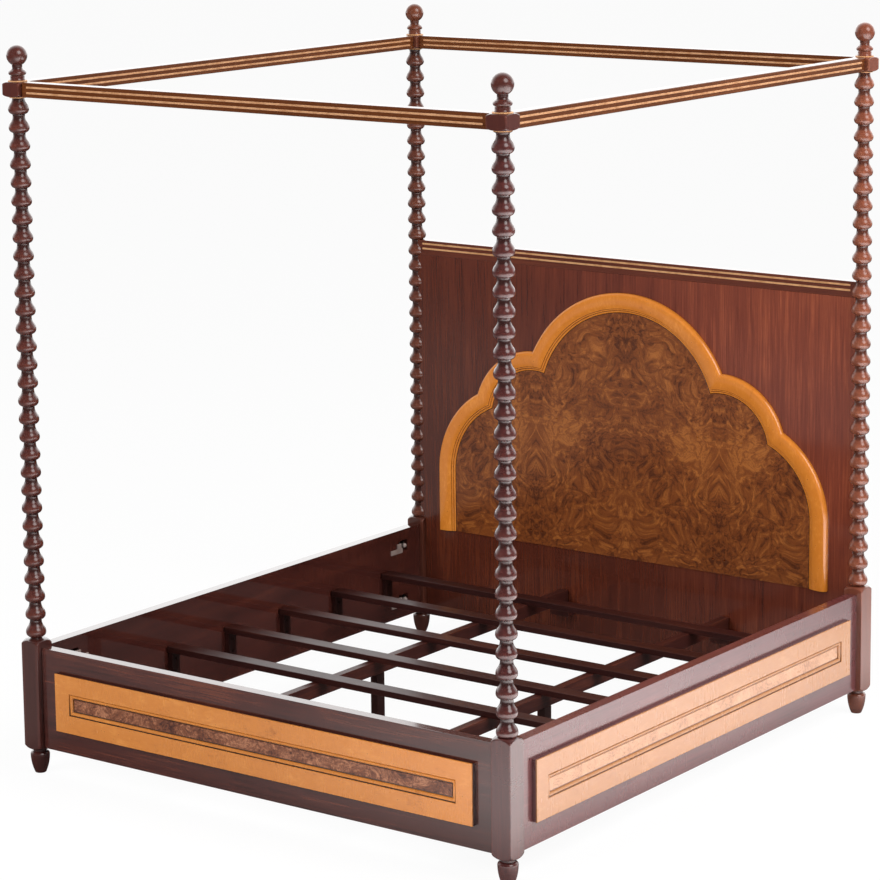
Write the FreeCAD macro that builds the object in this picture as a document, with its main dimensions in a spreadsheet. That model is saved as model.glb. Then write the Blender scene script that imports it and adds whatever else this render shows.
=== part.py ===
# Four-poster canopy bed: turned posts, tester frame, panelled rails, arched headboard and slats.
# Frame: +Z up, origin on the floor midway between the posts, +Y to the head, +X to the right side.
import FreeCAD, Part
import Sketcher
import math
import os
import re

# Driving sizes in millimetres, with counts and shares of a length where the words say so.
SIZES = (
    ("span_across", 1872, "between post centre lines, across the bed"),
    ("span_along", 2086, "between post centre lines, along the bed"),
    ("post_side", 70, "side of the square post blocks"),
    ("fit_gap", 0.2, "clearance round every pin, dowel, stud and screw"),
    ("foot_height", 81, "turned foot, floor to block"),
    ("foot_tip", 18.5, "radius of the foot at the floor"),
    ("foot_bulb", 31.5, "largest radius of the foot"),
    ("foot_bulb_level", 62, "height of the largest radius"),
    ("foot_neck", 22, "radius of the neck over the foot's bulb"),
    ("foot_neck_level", 73, "height where that neck starts"),
    ("block_height", 370, "square block that takes the rails"),
    ("shoulder_neck", 22, "radius where a block's turned shoulder meets its neck"),
    ("shoulder_drop", 17, "height of a post block's turned shoulder"),
    ("shoulder_round", 34, "radius of curve of the turned shoulders"),
    ("shoulder_clear", 1.5, "lathe clearance past the block's corners"),
    ("bobbin_count", 30, "bobbins on each shaft, a count"),
    ("bobbin_pitch", 58.7, "height of one bobbin"),
    ("bobbin_radius", 32.5, "largest radius of a bobbin"),
    ("bobbin_neck", 18.5, "radius of the neck between bobbins"),
    ("bobbin_fillet", 4, "straight neck under each bobbin"),
    ("bobbin_belly", 18, "height of the largest radius in a bobbin"),
    ("bobbin_ogee", 0.45, "share of the upper slope that is convex"),
    ("collar_height", 4, "brass collar under and over the tester block"),
    ("lower_collar", 23, "radius of the collar under the tester block"),
    ("upper_collar", 31, "radius of the collar over the tester block"),
    ("tester_height", 47, "tester blocks and tester rails"),
    ("tester_depth", 40, "thickness of a tester rail"),
    ("tester_shoulder", 8, "height of a tester block's turned shoulder"),
    ("pin_radius", 6, "threaded pin through the tester block"),
    ("pin_in_post", 45, "pin depth in the top of the shaft"),
    ("pin_in_finial", 36, "pin depth in the finial"),
    ("pin_end_gap", 2, "room over the pin's tip and under its foot"),
    ("finial_base", 24.5, "radius of the finial's base"),
    ("finial_base_height", 13, "height of the finial's base"),
    ("finial_bead", 27.5, "radius of the bead over the base"),
    ("finial_bead_height", 11, "height of that bead"),
    ("finial_neck", 15.5, "radius of the neck under the ball"),
    ("finial_ball", 33, "radius of the ball"),
    ("finial_ball_level", 78, "height of the ball's centre over the finial's base"),
    ("finial_cone_top", 46, "height of the neck under the ball"),
    ("line_width", 9.5, "width of a brass line"),
    ("line_between", 8, "dark wood between the two brass lines"),
    ("line_depth", 2.5, "depth of a brass line's groove"),
    ("line_proud", 0.6, "how far a brass line stands out of its groove"),
    ("dowel_radius", 5, "wooden dowels"),
    ("dowel_depth", 24, "dowel depth in each piece"),
    ("dowel_offset", 9, "tester dowels above and below mid height"),
    ("rail_bottom", 90, "underside of the rails and headboard"),
    ("rail_height", 336, "height of the rails"),
    ("rail_thickness", 38, "thickness of the rails"),
    ("rail_setback", 20, "post face to rail face"),
    ("stud_radius", 5, "threaded studs between posts and rails"),
    ("stud_in_post", 40, "stud depth in the post"),
    ("stud_past_nut", 8, "stud length past its nut"),
    ("stud_low", 68, "lower studs of a side rail, above the rail's underside"),
    ("stud_high", 61, "upper studs of a side rail, below the rail's top"),
    ("stud_step", 26, "foot rail studs lie this far inside those heights"),
    ("pocket_from_end", 80, "rail end to the nut's pocket"),
    ("pocket_length", 56, "length of the nut's pocket"),
    ("pocket_height", 40, "height of the nut's pocket"),
    ("pocket_depth", 29, "depth of the nut's pocket from the rail's inner face"),
    ("nut_radius", 9.2, "nut, over its corners"),
    ("nut_height", 9, "thickness of a nut"),
    ("panel_end_margin", 70, "rail end to raised panel"),
    ("panel_low_margin", 74, "rail's lower edge to raised panel"),
    ("panel_high_margin", 70, "rail's upper edge to raised panel"),
    ("backing_thickness", 12, "dark board of a raised panel"),
    ("face_thickness", 5, "golden face of a raised panel"),
    ("frame_margin", 60, "raised panel's end to its sunk moulding"),
    ("moulding_width", 17, "width of the sunk moulding"),
    ("moulding_land", 4, "flat rim of the sunk moulding"),
    ("recess_floor", 6, "backing left under the moulding and the burl"),
    ("burl_thickness", 3, "burl strip and burl panel"),
    ("burl_height", 38, "height of the burl strip"),
    ("head_thickness", 30, "thickness of the headboard"),
    ("head_top", 1505, "top of the headboard"),
    ("head_rail_height", 55, "height of the headboard's top rail"),
    ("head_line_top", 8, "headboard's top to its upper brass line"),
    ("head_edge", 14, "post centre line to the headboard's edge in its groove"),
    ("head_dowel_low", 205, "height of the lower headboard dowels"),
    ("head_dowel_high", 320, "height of the upper headboard dowels"),
    ("arch_bottom", 417, "foot of the arch moulding and burl panel"),
    ("arch_band", 48, "width of the arch's flat band"),
    ("arch_bead", 25, "width of the stepped bead inside the band"),
    ("arch_thickness", 20, "thickness of the band"),
    ("arch_bead_thickness", 13, "thickness of the bead"),
    ("arch_side_margin", 75, "post to the arch's side lobe"),
    ("side_lobe", 347, "outer radius of the arch's side lobes"),
    ("side_lobe_level", 650, "height of a side lobe's centre"),
    ("mid_lobe", 263, "outer radius of the arch's middle lobes"),
    ("mid_lobe_in", 83, "a middle lobe's centre lies this far inside the side lobe's"),
    ("mid_lobe_level", 873, "height of a middle lobe's centre"),
    ("top_lobe", 443, "outer radius of the arch's top lobe"),
    ("top_lobe_level", 942, "height of the top lobe's centre"),
    ("slat_count", 6, "slats across the bed, a count"),
    ("slat_first", -710, "place of the slat nearest the foot, along the bed"),
    ("slat_pitch", 300, "from slat to slat"),
    ("slat_width", 56, "width of a slat"),
    ("slat_thickness", 21, "thickness of a slat"),
    ("slat_level", 265, "underside of the slats"),
    ("slat_end_gap", 3, "slat end to rail"),
    ("seat_width", 38, "width of a slat block"),
    ("seat_depth", 18, "how far a slat block stands out from its rail"),
    ("seat_bottom", 172, "underside of a slat block"),
    ("screw_radius", 2.5, "shank of a wood screw"),
    ("screw_head", 5, "head of a wood screw"),
    ("screw_head_height", 3, "height of a screw head"),
    ("screw_in_rail", 22, "screw depth in the rail"),
    ("screw_margin", 25, "slat block's ends to its screws"),
    ("bearer_left", -265, "centre of the left long bearer, across the bed"),
    ("bearer_right", 418, "centre of the right long bearer, across the bed"),
    ("bearer_width", 30, "width of a long bearer"),
    ("bearer_height", 46, "height of a long bearer"),
    ("bearer_end_gap", 3, "bearer end to foot rail and headboard"),
    ("cleat_length", 80, "cleat under a bearer end, across the bed"),
    ("cleat_depth", 40, "how far a cleat stands out"),
    ("cleat_height", 45, "height of a cleat"),
    ("leg_place", -102, "centre of the bearer legs, along the bed"),
    ("leg_depth", 40, "size of a bearer leg along the bed"),
)
NAMES = {alias for alias, number, meaning in SIZES}

UP = FreeCAD.Vector(0, 0, 1)
ROD_TURNS = (
    FreeCAD.Rotation(FreeCAD.Vector(0, 1, 0), 90),
    FreeCAD.Rotation(FreeCAD.Vector(1, 0, 0), -90),
    FreeCAD.Rotation(),
)
LEFT, RIGHT = 1, -1

# Sums that several pieces share.
BLOCK_TOP = "foot_height + block_height"
SHAFT_TOP = f"{BLOCK_TOP} + bobbin_count * bobbin_pitch"
TESTER_BOTTOM = f"{SHAFT_TOP} + collar_height"
TESTER_TOP = f"{TESTER_BOTTOM} + tester_height"
FINIAL_BOTTOM = f"{TESTER_TOP} + collar_height"
RAIL_TOP = "rail_bottom + rail_height"
SIDE_LENGTH = "span_along - post_side"
CROSS_LENGTH = "span_across - post_side"
SIDE_FACE = "span_across / 2 + post_side / 2 - rail_setback"
FOOT_FACE = "span_along / 2 + post_side / 2 - rail_setback"
SIDE_INSIDE = f"{SIDE_FACE} - rail_thickness"
FOOT_INSIDE = f"{FOOT_FACE} - rail_thickness"
RAIL_AXIS = "post_side / 2 - rail_setback - rail_thickness / 2"
HEAD_FACE = "span_along / 2 - head_thickness / 2"
HEAD_PANEL_TOP = "head_top - head_rail_height"
PANEL_PROUD = "backing_thickness + face_thickness"
STUD_LOW = "rail_bottom + stud_low"
STUD_HIGH = f"{RAIL_TOP} - stud_high"
PANEL_LOW = "rail_bottom + panel_low_margin"
PANEL_HIGH = f"{RAIL_TOP} - panel_high_margin"
PANEL_AXIS = f"({PANEL_LOW} + {PANEL_HIGH}) / 2"
ARCH_HALF = "span_across / 2 - post_side / 2 - arch_side_margin"
SIDE_LOBE_OUT = f"{ARCH_HALF} - side_lobe"
MID_LOBE_OUT = f"{SIDE_LOBE_OUT} - mid_lobe_in"
SLAT_TOP = "slat_level + slat_thickness"
BEARER_BOTTOM = "slat_level - bearer_height"
PIN_HOLE = "pin_radius + fit_gap"
DOWEL_HOLE = "dowel_radius + fit_gap"
STUD_HOLE = "stud_radius + fit_gap"
SCREW_HOLE = "screw_radius + fit_gap"

doc = FreeCAD.newDocument("CanopyBed")
sheet = doc.addObject("Spreadsheet::Sheet", "Sizes")
for row, (alias, number, meaning) in enumerate(SIZES, start=1):
    sheet.set(f"A{row}", meaning)
    sheet.set(f"B{row}", str(number))
    sheet.setAlias(f"B{row}", alias)
doc.recompute()
pieces = []


def formula(text):
    """The sum in plain size names as an expression that reads the sheet's cells."""
    return re.sub(r"[a-z]\w*", lambda word: "Sizes." + word[0] if word[0] in NAMES else word[0], text)


def value(text):
    """The number that a sum in plain size names comes to."""
    return float(sheet.evalExpression(formula(text)))


def bind(thing, **sums):
    """Tie properties of a document object to sums of sheet sizes."""
    for name, text in sums.items():
        thing.setExpression(name, formula(text))
    return thing


def seat(thing, x="0", y="0", z="0", turn=FreeCAD.Rotation()):
    """Place an object at three sums, turned by a rotation."""
    thing.Placement = FreeCAD.Placement(FreeCAD.Vector(), turn)
    for letter, text in zip("xyz", (x, y, z)):
        thing.setExpression("Placement.Base." + letter, formula(text))
    return thing


def brick(name, x, y, z):
    """A box between pairs of low and high sums along each axis."""
    solid = doc.addObject("Part::Box", name)
    for side, (low, high) in zip(("Length", "Width", "Height"), (x, y, z)):
        solid.setExpression(side, formula(f"({high}) - ({low})"))
    return seat(solid, x[0], y[0], z[0])


def round_spot(solid, x, y, z):
    """Set a solid's height and place along whichever axis is a pair of low and high sums."""
    spot = [x, y, z]
    way = [isinstance(place, tuple) for place in spot].index(True)
    low, high = spot[way]
    spot[way] = low
    bind(solid, Height=f"({high}) - ({low})")
    return seat(solid, *spot, turn=ROD_TURNS[way])


def rod(name, radius, x, y, z):
    """A cylinder along whichever axis is given as a pair of low and high sums."""
    solid = bind(doc.addObject("Part::Cylinder", name), Radius=radius)
    return round_spot(solid, x, y, z)


def group(name, solids):
    """Separate solids kept together in one object."""
    bunch = doc.addObject("Part::Compound", name)
    bunch.Links = solids
    return bunch


def cut(name, base, tools):
    """A base with one or more tools taken out of it."""
    whole = doc.addObject("Part::Cut", name)
    whole.Base = base
    whole.Tool = tools[0] if len(tools) == 1 else group(name + "_tools", tools)
    return whole


def fused(name, solids):
    """Solids joined into one, without the seams between them."""
    whole = doc.addObject("Part::MultiFuse", name)
    whole.Shapes = solids
    whole.Refine = True
    return whole


def piece(thing):
    """Keep an object as a sub-part; its label names its file."""
    pieces.append(thing)
    return thing


def outline(body, name, role, points, lift="0"):
    """A closed sketch through points (x, y), or (x, y, turn, radius) where an arc leads to the next."""
    sketch = body.newObject("Sketcher::SketchObject", name)
    plane = [feature for feature in body.Origin.OriginFeatures if feature.Role == role][0]
    sketch.AttachmentSupport = [(plane, "")]
    sketch.MapMode = "FlatFace"
    sketch.setExpression("AttachmentOffset.Base.z", formula(lift))
    spots = [FreeCAD.Vector(value(point[0]), value(point[1]), 0) for point in points]
    runs = []
    for point, start, finish in zip(points, spots, spots[1:] + spots[:1]):
        if len(point) == 2:
            runs.append((sketch.addGeometry(Part.LineSegment(start, finish)), 1, 2))
            continue
        turn, radius = point[2], value(point[3])
        half = (finish - start) * 0.5
        side = FreeCAD.Vector(-half.y, half.x, 0).normalize() * turn
        centre = start + half + side * math.sqrt(radius ** 2 - half.Length ** 2)
        ends = (start, finish) if turn == LEFT else (finish, start)
        angles = [math.atan2(end.y - centre.y, end.x - centre.x) for end in ends]
        arc = sketch.addGeometry(Part.ArcOfCircle(Part.Circle(centre, UP, radius), *angles))
        runs.append((arc, 1, 2) if turn == LEFT else (arc, 2, 1))
    for point, run, after in zip(points, runs, runs[1:] + runs[:1]):
        sketch.addConstraint(Sketcher.Constraint("Coincident", run[0], run[2], after[0], after[1]))
        from_origin = (-1, 1, run[0], run[1])
        sums = [("DistanceX", from_origin, point[0]), ("DistanceY", from_origin, point[1])]
        if len(point) > 2:
            sums.append(("Radius", (run[0],), point[3]))
        for kind, where, text in sums:
            number = sketch.addConstraint(Sketcher.Constraint(kind, *where, value(text)))
            sketch.setExpression(f"Constraints[{number}]", formula(text))
    return sketch


def spun(body, kind, name, points):
    """A Revolution or Groove of a profile, radius against height, about the upright axis."""
    sketch = outline(body, name + "_profile", "XZ_Plane", points)
    feature = body.newObject("PartDesign::" + kind, name)
    feature.Profile = sketch
    feature.ReferenceAxis = (sketch, ["V_Axis"])
    feature.Angle = 360
    return feature


def square_block(body, name, bottom, height, shoulder):
    """A square block with turned shoulders at both ends, cut as on a lathe."""
    half = "post_side / 2"
    corners = [(f"-{half}", f"-{half}"), (half, f"-{half}"), (half, half), (f"-{half}", half)]
    pad = body.newObject("PartDesign::Pad", name)
    pad.Profile = outline(body, name + "_square", "XY_Plane", corners, bottom)
    bind(pad, Length=height)
    clear = "post_side / 2 * sqrt(2) + shoulder_clear"
    top = f"{bottom} + {height}"
    upper = [
        ("shoulder_neck", top, RIGHT, "shoulder_round"),
        (clear, f"{top} - {shoulder}"),
        (clear, top),
    ]
    lower = [
        ("shoulder_neck", bottom, LEFT, "shoulder_round"),
        (clear, f"{bottom} + {shoulder}"),
        (clear, bottom),
    ]
    spun(body, "Groove", name + "_upper_shoulder", upper)
    return spun(body, "Groove", name + "_lower_shoulder", lower)


def bend(rise, reach):
    """Radius of an arc that starts upright and moves out by reach over a rise."""
    return f"(({reach}) ^ 2 + ({rise}) ^ 2) / (2 * ({reach}))"


def turned_post():
    """The post before its holes: foot, square block and a shaft of bobbins."""
    body = doc.addObject("PartDesign::Body", "turned_post")
    taper = bend("foot_bulb_level", "foot_bulb - foot_tip")
    tuck = bend("foot_neck_level - foot_bulb_level", "foot_bulb - foot_neck")
    spun(body, "Revolution", "foot", [
        ("0", "0"),
        ("foot_tip", "0", LEFT, taper),
        ("foot_bulb", "foot_bulb_level", LEFT, tuck),
        ("foot_neck", "foot_neck_level"),
        ("foot_neck", "foot_height"),
        ("0", "foot_height"),
    ])
    square_block(body, "block", "foot_height", "block_height", "shoulder_drop")
    slope = "(bobbin_radius - bobbin_neck)"
    waist = f"bobbin_radius - {slope} * bobbin_ogee"
    rise = "(bobbin_pitch - bobbin_belly)"
    bobbin = spun(body, "Revolution", "bobbin", [
        ("0", BLOCK_TOP),
        ("bobbin_neck", BLOCK_TOP),
        ("bobbin_neck", f"{BLOCK_TOP} + bobbin_fillet", LEFT, bend("bobbin_belly - bobbin_fillet", slope)),
        ("bobbin_radius", f"{BLOCK_TOP} + bobbin_belly", LEFT,
         bend(f"{rise} * bobbin_ogee", f"{slope} * bobbin_ogee")),
        (waist, f"{BLOCK_TOP} + bobbin_belly + {rise} * bobbin_ogee", RIGHT,
         bend(f"{rise} * (1 - bobbin_ogee)", f"{slope} * (1 - bobbin_ogee)")),
        ("bobbin_neck", f"{BLOCK_TOP} + bobbin_pitch"),
        ("0", f"{BLOCK_TOP} + bobbin_pitch"),
    ])
    shaft = body.newObject("PartDesign::LinearPattern", "shaft")
    shaft.Originals = [bobbin]
    shaft.Direction = (bobbin.Profile[0], ["V_Axis"])
    bind(shaft, Length="bobbin_pitch * (bobbin_count - 1)", Occurrences="bobbin_count")
    body.Tip = shaft
    return body


def turned_tester_block():
    """The square block over the shaft, with turned shoulders, before its holes."""
    body = doc.addObject("PartDesign::Body", "turned_tester_block")
    body.Tip = square_block(body, "tester", "0", "tester_height", "tester_shoulder")
    return body


def finial(name):
    """A ball finial on a beaded base, bored from below for its pin."""
    body = doc.addObject("PartDesign::Body", name)
    bore_top = "pin_in_finial + pin_end_gap"
    bead_top = "finial_base_height + finial_bead_height"
    bead = "finial_bead - finial_base"
    ball_start = "finial_ball_level - sqrt(finial_ball ^ 2 - finial_neck ^ 2)"
    spun(body, "Revolution", name + "_turning", [
        (PIN_HOLE, "0"),
        ("finial_base", "0"),
        ("finial_base", "finial_base_height", LEFT, bend("finial_bead_height / 2", bead)),
        ("finial_base", bead_top),
        ("finial_neck", "finial_cone_top"),
        ("finial_neck", ball_start, LEFT, "finial_ball"),
        ("finial_ball", "finial_ball_level", LEFT, "finial_ball"),
        ("0", "finial_ball_level + finial_ball"),
        ("0", bore_top),
        (PIN_HOLE, bore_top),
    ])
    return body


def corners():
    """Each corner's name, its side across the bed and its side along the bed."""
    for end, along in (("foot", -1), ("head", 1)):
        for side, across in (("left", -1), ("right", 1)):
            yield f"{end}_{side}", across, along


def facing(sign, near, far):
    """A pair of low and high sums on the given side of zero."""
    return (near, far) if sign > 0 else (f"-({far})", f"-({near})")


def post_holes(name, across, along):
    """Holes in one post: the pin in its top, studs of its rails, and the headboard's groove and dowels."""
    face = "post_side / 2"
    tools = [rod(name + "_pin_hole", PIN_HOLE, "0", "0",
                 (f"{SHAFT_TOP} - pin_in_post - pin_end_gap", SHAFT_TOP))]
    blind = f"{face} - stud_in_post - fit_gap"
    for level in (STUD_LOW, STUD_HIGH):
        tools.append(rod(f"{name}_side_stud", STUD_HOLE, f"{across} * ({RAIL_AXIS})",
                         facing(-along, blind, face), level))
    if along < 0:
        for level in (f"{STUD_LOW} + stud_step", f"{STUD_HIGH} - stud_step"):
            tools.append(rod(f"{name}_foot_stud", STUD_HOLE, facing(-across, blind, face),
                             f"{along} * ({RAIL_AXIS})", level))
        return tools
    half = "head_thickness / 2 + fit_gap"
    tools.append(brick(name + "_groove", facing(-across, "head_edge - fit_gap", f"{face} + shoulder_clear"),
                       (f"-({half})", half), ("rail_bottom", "head_top + fit_gap")))
    for level in ("head_dowel_low", "head_dowel_high"):
        tools.append(rod(f"{name}_{level}_hole", DOWEL_HOLE,
                         facing(-across, "head_edge - dowel_depth - fit_gap", "head_edge"), "0", level))
    return tools


def make_posts():
    """Four posts, cut from one turning, and set at the corners."""
    turning = turned_post()
    for name, across, along in corners():
        post = cut("post_" + name, turning, post_holes("post_" + name, across, along))
        piece(seat(post, f"{across} * span_across / 2", f"{along} * span_along / 2"))


def tester_dowel_level(way):
    """Height of the tester dowels over the rail's underside: across above, along below mid height."""
    return "tester_height / 2 + dowel_offset" if way == "across" else "tester_height / 2 - dowel_offset"


def make_tester_blocks():
    """Four tester blocks, bored for the pin and the dowels of their two rails."""
    turning = turned_tester_block()
    blind = "post_side / 2 - dowel_depth - fit_gap"
    for name, across, along in corners():
        label = "tester_block_" + name
        tools = [
            rod(label + "_bore", PIN_HOLE, "0", "0", ("0", "tester_height")),
            rod(label + "_across", DOWEL_HOLE, facing(-across, blind, "post_side / 2"), "0",
                tester_dowel_level("across")),
            rod(label + "_along", DOWEL_HOLE, "0", facing(-along, blind, "post_side / 2"),
                tester_dowel_level("along")),
        ]
        block = cut(label, turning, tools)
        piece(seat(block, f"{across} * span_across / 2", f"{along} * span_along / 2", TESTER_BOTTOM))


def make_post_tops():
    """Brass collars, pins and finials over each shaft."""
    collars = {"lower_collar": SHAFT_TOP, "upper_collar": TESTER_TOP}
    rings = {kind: [] for kind in collars}
    pins = []
    for name, across, along in corners():
        x, y = f"{across} * span_across / 2", f"{along} * span_along / 2"
        for kind, level in collars.items():
            span = (level, f"{level} + collar_height")
            disc = rod(f"{kind}_{name}_disc", kind, x, y, span)
            bore = rod(f"{kind}_{name}_bore", PIN_HOLE, x, y, span)
            rings[kind].append(cut(f"{kind}_{name}", disc, [bore]))
        pins.append(rod(f"pin_{name}", "pin_radius", x, y,
                        (f"{SHAFT_TOP} - pin_in_post", f"{FINIAL_BOTTOM} + pin_in_finial")))
        piece(seat(finial("finial_" + name), x, y, FINIAL_BOTTOM))
    for kind, solids in rings.items():
        piece(group(kind + "s", solids))
    piece(group("finial_pins", pins))


def line_levels(middle):
    """Low and high sums of two brass lines about a middle height."""
    near, far = "line_between / 2", "line_between / 2 + line_width"
    return ((f"{middle} + {near}", f"{middle} + {far}"), (f"{middle} - ({far})", f"{middle} - ({near})"))


def tester_rails():
    """Each tester rail's name, length, place and turn, and the way that it runs."""
    level = TESTER_BOTTOM
    return (
        ("foot", CROSS_LENGTH, ("0", "-span_along / 2", level), FreeCAD.Rotation(), "across"),
        ("head", CROSS_LENGTH, ("0", "span_along / 2", level), FreeCAD.Rotation(), "across"),
        ("left", SIDE_LENGTH, ("-span_across / 2", "0", level), FreeCAD.Rotation(UP, 90), "along"),
        ("right", SIDE_LENGTH, ("span_across / 2", "0", level), FreeCAD.Rotation(UP, 90), "along"),
    )


def make_tester_rails():
    """Tester rails with brass lines let into both faces, and the dowels in their ends."""
    lines, dowels = [], []
    face = "tester_depth / 2"
    for name, length, spot, turn, way in tester_rails():
        label = "tester_rail_" + name
        half = f"({length}) / 2"
        run = (f"-{half}", half)
        grooves, strips, holes, pegs = [], [], [], []
        for side in (-1, 1):
            for number, levels in enumerate(line_levels("tester_height / 2")):
                mark = f"{label}_{side + 1}_{number}"
                floor = f"{face} - line_depth"
                grooves.append(brick(mark + "_groove", run, facing(side, floor, face), levels))
                crown = facing(side, floor, f"{face} + line_proud")
                strips.append(brick(mark + "_line", run, crown, levels))
            level = tester_dowel_level(way)
            inner, outer = f"{half} - dowel_depth", f"{half} + dowel_depth"
            blind = facing(side, f"{inner} - fit_gap", half)
            holes.append(rod(f"{label}_hole", DOWEL_HOLE, blind, "0", level))
            pegs.append(rod(f"{label}_dowel", "dowel_radius", facing(side, inner, outer), "0", level))
        plain = brick(label + "_plain", run, (f"-({face})", face), ("0", "tester_height"))
        piece(seat(cut(label, plain, grooves + holes), *spot, turn=turn))
        lines.append(seat(group(label + "_lines", strips), *spot, turn=turn))
        dowels.append(seat(group(label + "_dowels", pegs), *spot, turn=turn))
    piece(group("tester_lines", lines))
    piece(group("tester_dowels", dowels))


def bed_rails():
    """Each bed rail's name, length, place, turn and the heights of its studs."""
    inner = (f"{STUD_LOW} + stud_step", f"{STUD_HIGH} - stud_step")
    return (
        ("foot", CROSS_LENGTH, ("0", f"-({FOOT_FACE})"), FreeCAD.Rotation(), inner),
        ("left", SIDE_LENGTH, (f"-({SIDE_FACE})", "0"), FreeCAD.Rotation(UP, -90), (STUD_LOW, STUD_HIGH)),
        ("right", SIDE_LENGTH, (SIDE_FACE, "0"), FreeCAD.Rotation(UP, 90), (STUD_LOW, STUD_HIGH)),
    )


def slat_places():
    """Each slat's centre along the bed."""
    return [f"slat_first + {number} * slat_pitch" for number in range(int(value("slat_count")))]


def screw_levels():
    """Heights of the two screws through a slat block."""
    return ("seat_bottom + screw_margin", "slat_level - screw_margin")


def stud_set(label, half, level):
    """At both ends of a rail: the stud's bore, the nut's pocket, the stud and its nut."""
    bores, studs, nuts = [], [], []
    middle = "rail_thickness / 2"
    wall = f"{half} - pocket_from_end"
    for side in (-1, 1):
        bores.append(rod(f"{label}_bore", STUD_HOLE, facing(side, wall, half), middle, level))
        bores.append(brick(f"{label}_pocket", facing(side, f"{wall} - pocket_length", wall),
                           ("rail_thickness - pocket_depth", "rail_thickness"),
                           (f"{level} - pocket_height / 2", f"{level} + pocket_height / 2")))
        tip = f"{wall} - nut_height - stud_past_nut"
        reach = facing(side, tip, f"{half} + stud_in_post")
        studs.append(rod(f"{label}_stud", "stud_radius", reach, middle, level))
        span = facing(side, f"{wall} - nut_height", wall)
        blank = bind(doc.addObject("Part::Prism", f"{label}_nut_blank"), Circumradius="nut_radius")
        round_spot(blank, span, middle, level)
        nuts.append(cut(f"{label}_nut", blank, [rod(f"{label}_nut_thread", STUD_HOLE, span, middle, level)]))
    return bores, studs, nuts


def raised_panel(name, half):
    """A rail's raised panel in the rail's frame: backing, golden face, sunk moulding and burl strip."""
    wide = f"{half} - panel_end_margin"
    frame = f"{wide} - frame_margin"
    frame_low = f"{PANEL_AXIS} - burl_height / 2 - moulding_width"
    frame_high = f"{PANEL_AXIS} + burl_height / 2 + moulding_width"
    across, upright = (f"-({wide})", wide), (PANEL_LOW, PANEL_HIGH)
    frame_across, frame_upright = (f"-({frame})", frame), (frame_low, frame_high)
    front, joint, floor = f"-({PANEL_PROUD})", "-backing_thickness", "-recess_floor"
    backing = cut(name + "_backing", brick(name + "_board", across, (joint, "0"), upright),
                  [brick(name + "_recess", frame_across, (joint, floor), frame_upright)])
    face = cut(name + "_face", brick(name + "_veneer", across, (front, joint), upright),
               [brick(name + "_window", frame_across, (front, joint), frame_upright)])
    opening = doc.addObject("Part::Wedge", name + "_slope")
    rim, sight = f"{frame} - moulding_land", f"{frame} - moulding_width"
    bind(opening, Ymin=front, Ymax=floor,
         Xmin=f"-({rim})", Xmax=rim, X2min=f"-({sight})", X2max=sight,
         Zmin=f"{frame_low} + moulding_land", Zmax=f"{frame_high} - moulding_land",
         Z2min=f"{frame_low} + moulding_width", Z2max=f"{frame_high} - moulding_width")
    moulding = cut(name + "_moulding", brick(name + "_frame", frame_across, (front, floor), frame_upright),
                   [opening])
    burl = brick(name + "_strip", (f"-({sight})", sight), (f"{floor} - burl_thickness", floor),
                 (f"{frame_low} + moulding_width", f"{frame_high} - moulding_width"))
    return backing, face, moulding, group(name + "_burl", [burl])


def make_bed_rails():
    """Foot rail and side rails with their studs, nuts and raised panels."""
    all_studs, all_nuts = [], []
    for name, length, (x, y), turn, levels in bed_rails():
        label = "foot_rail" if name == "foot" else "side_rail_" + name
        half = f"({length}) / 2"
        tools = []
        for level in levels:
            bores, studs, nuts = stud_set(label, half, level)
            tools += bores
            all_studs.append(seat(group(label + "_studs", studs), x, y, turn=turn))
            all_nuts.append(seat(group(label + "_nuts", nuts), x, y, turn=turn))
        if name != "foot":
            way = 1 if name == "right" else -1
            for place in slat_places():
                for level in screw_levels():
                    tools.append(rod(label + "_pilot", SCREW_HOLE, f"{way} * ({place})",
                                     ("rail_thickness - screw_in_rail - fit_gap", "rail_thickness"), level))
        run, upright = (f"-{half}", half), ("rail_bottom", RAIL_TOP)
        plain = brick(label + "_plain", run, ("0", "rail_thickness"), upright)
        piece(seat(cut(label, plain, tools), x, y, turn=turn))
        for part in raised_panel(name + "_panel", half):
            piece(seat(part, x, y, turn=turn))
    piece(group("rail_studs", all_studs))
    piece(group("rail_nuts", all_nuts))


def scallop(name, inset, back, front):
    """The arch's outline drawn in by an inset: five round lobes, legs and core, cut level at the foot."""
    depth = (front, back)
    half = f"{ARCH_HALF} - ({inset})"
    lobes = [
        rod(f"{name}_top_lobe", f"top_lobe - ({inset})", "0", depth, "top_lobe_level"),
        brick(f"{name}_legs", (f"-({half})", half), depth, ("arch_bottom", "side_lobe_level")),
        brick(f"{name}_core", (f"-({MID_LOBE_OUT})", MID_LOBE_OUT), depth,
              ("arch_bottom", "mid_lobe_level")),
    ]
    for side in (-1, 1):
        lobes.append(rod(f"{name}_side_lobe", f"side_lobe - ({inset})", f"{side} * ({SIDE_LOBE_OUT})", depth,
                         "side_lobe_level"))
        lobes.append(rod(f"{name}_mid_lobe", f"mid_lobe - ({inset})", f"{side} * ({MID_LOBE_OUT})", depth,
                         "mid_lobe_level"))
    whole = doc.addObject("Part::Common", name)
    whole.Base = fused(name + "_lobes", lobes)
    whole.Tool = brick(name + "_level", ("-span_across / 2", "span_across / 2"), depth,
                       ("arch_bottom", "head_top"))
    return whole


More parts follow.
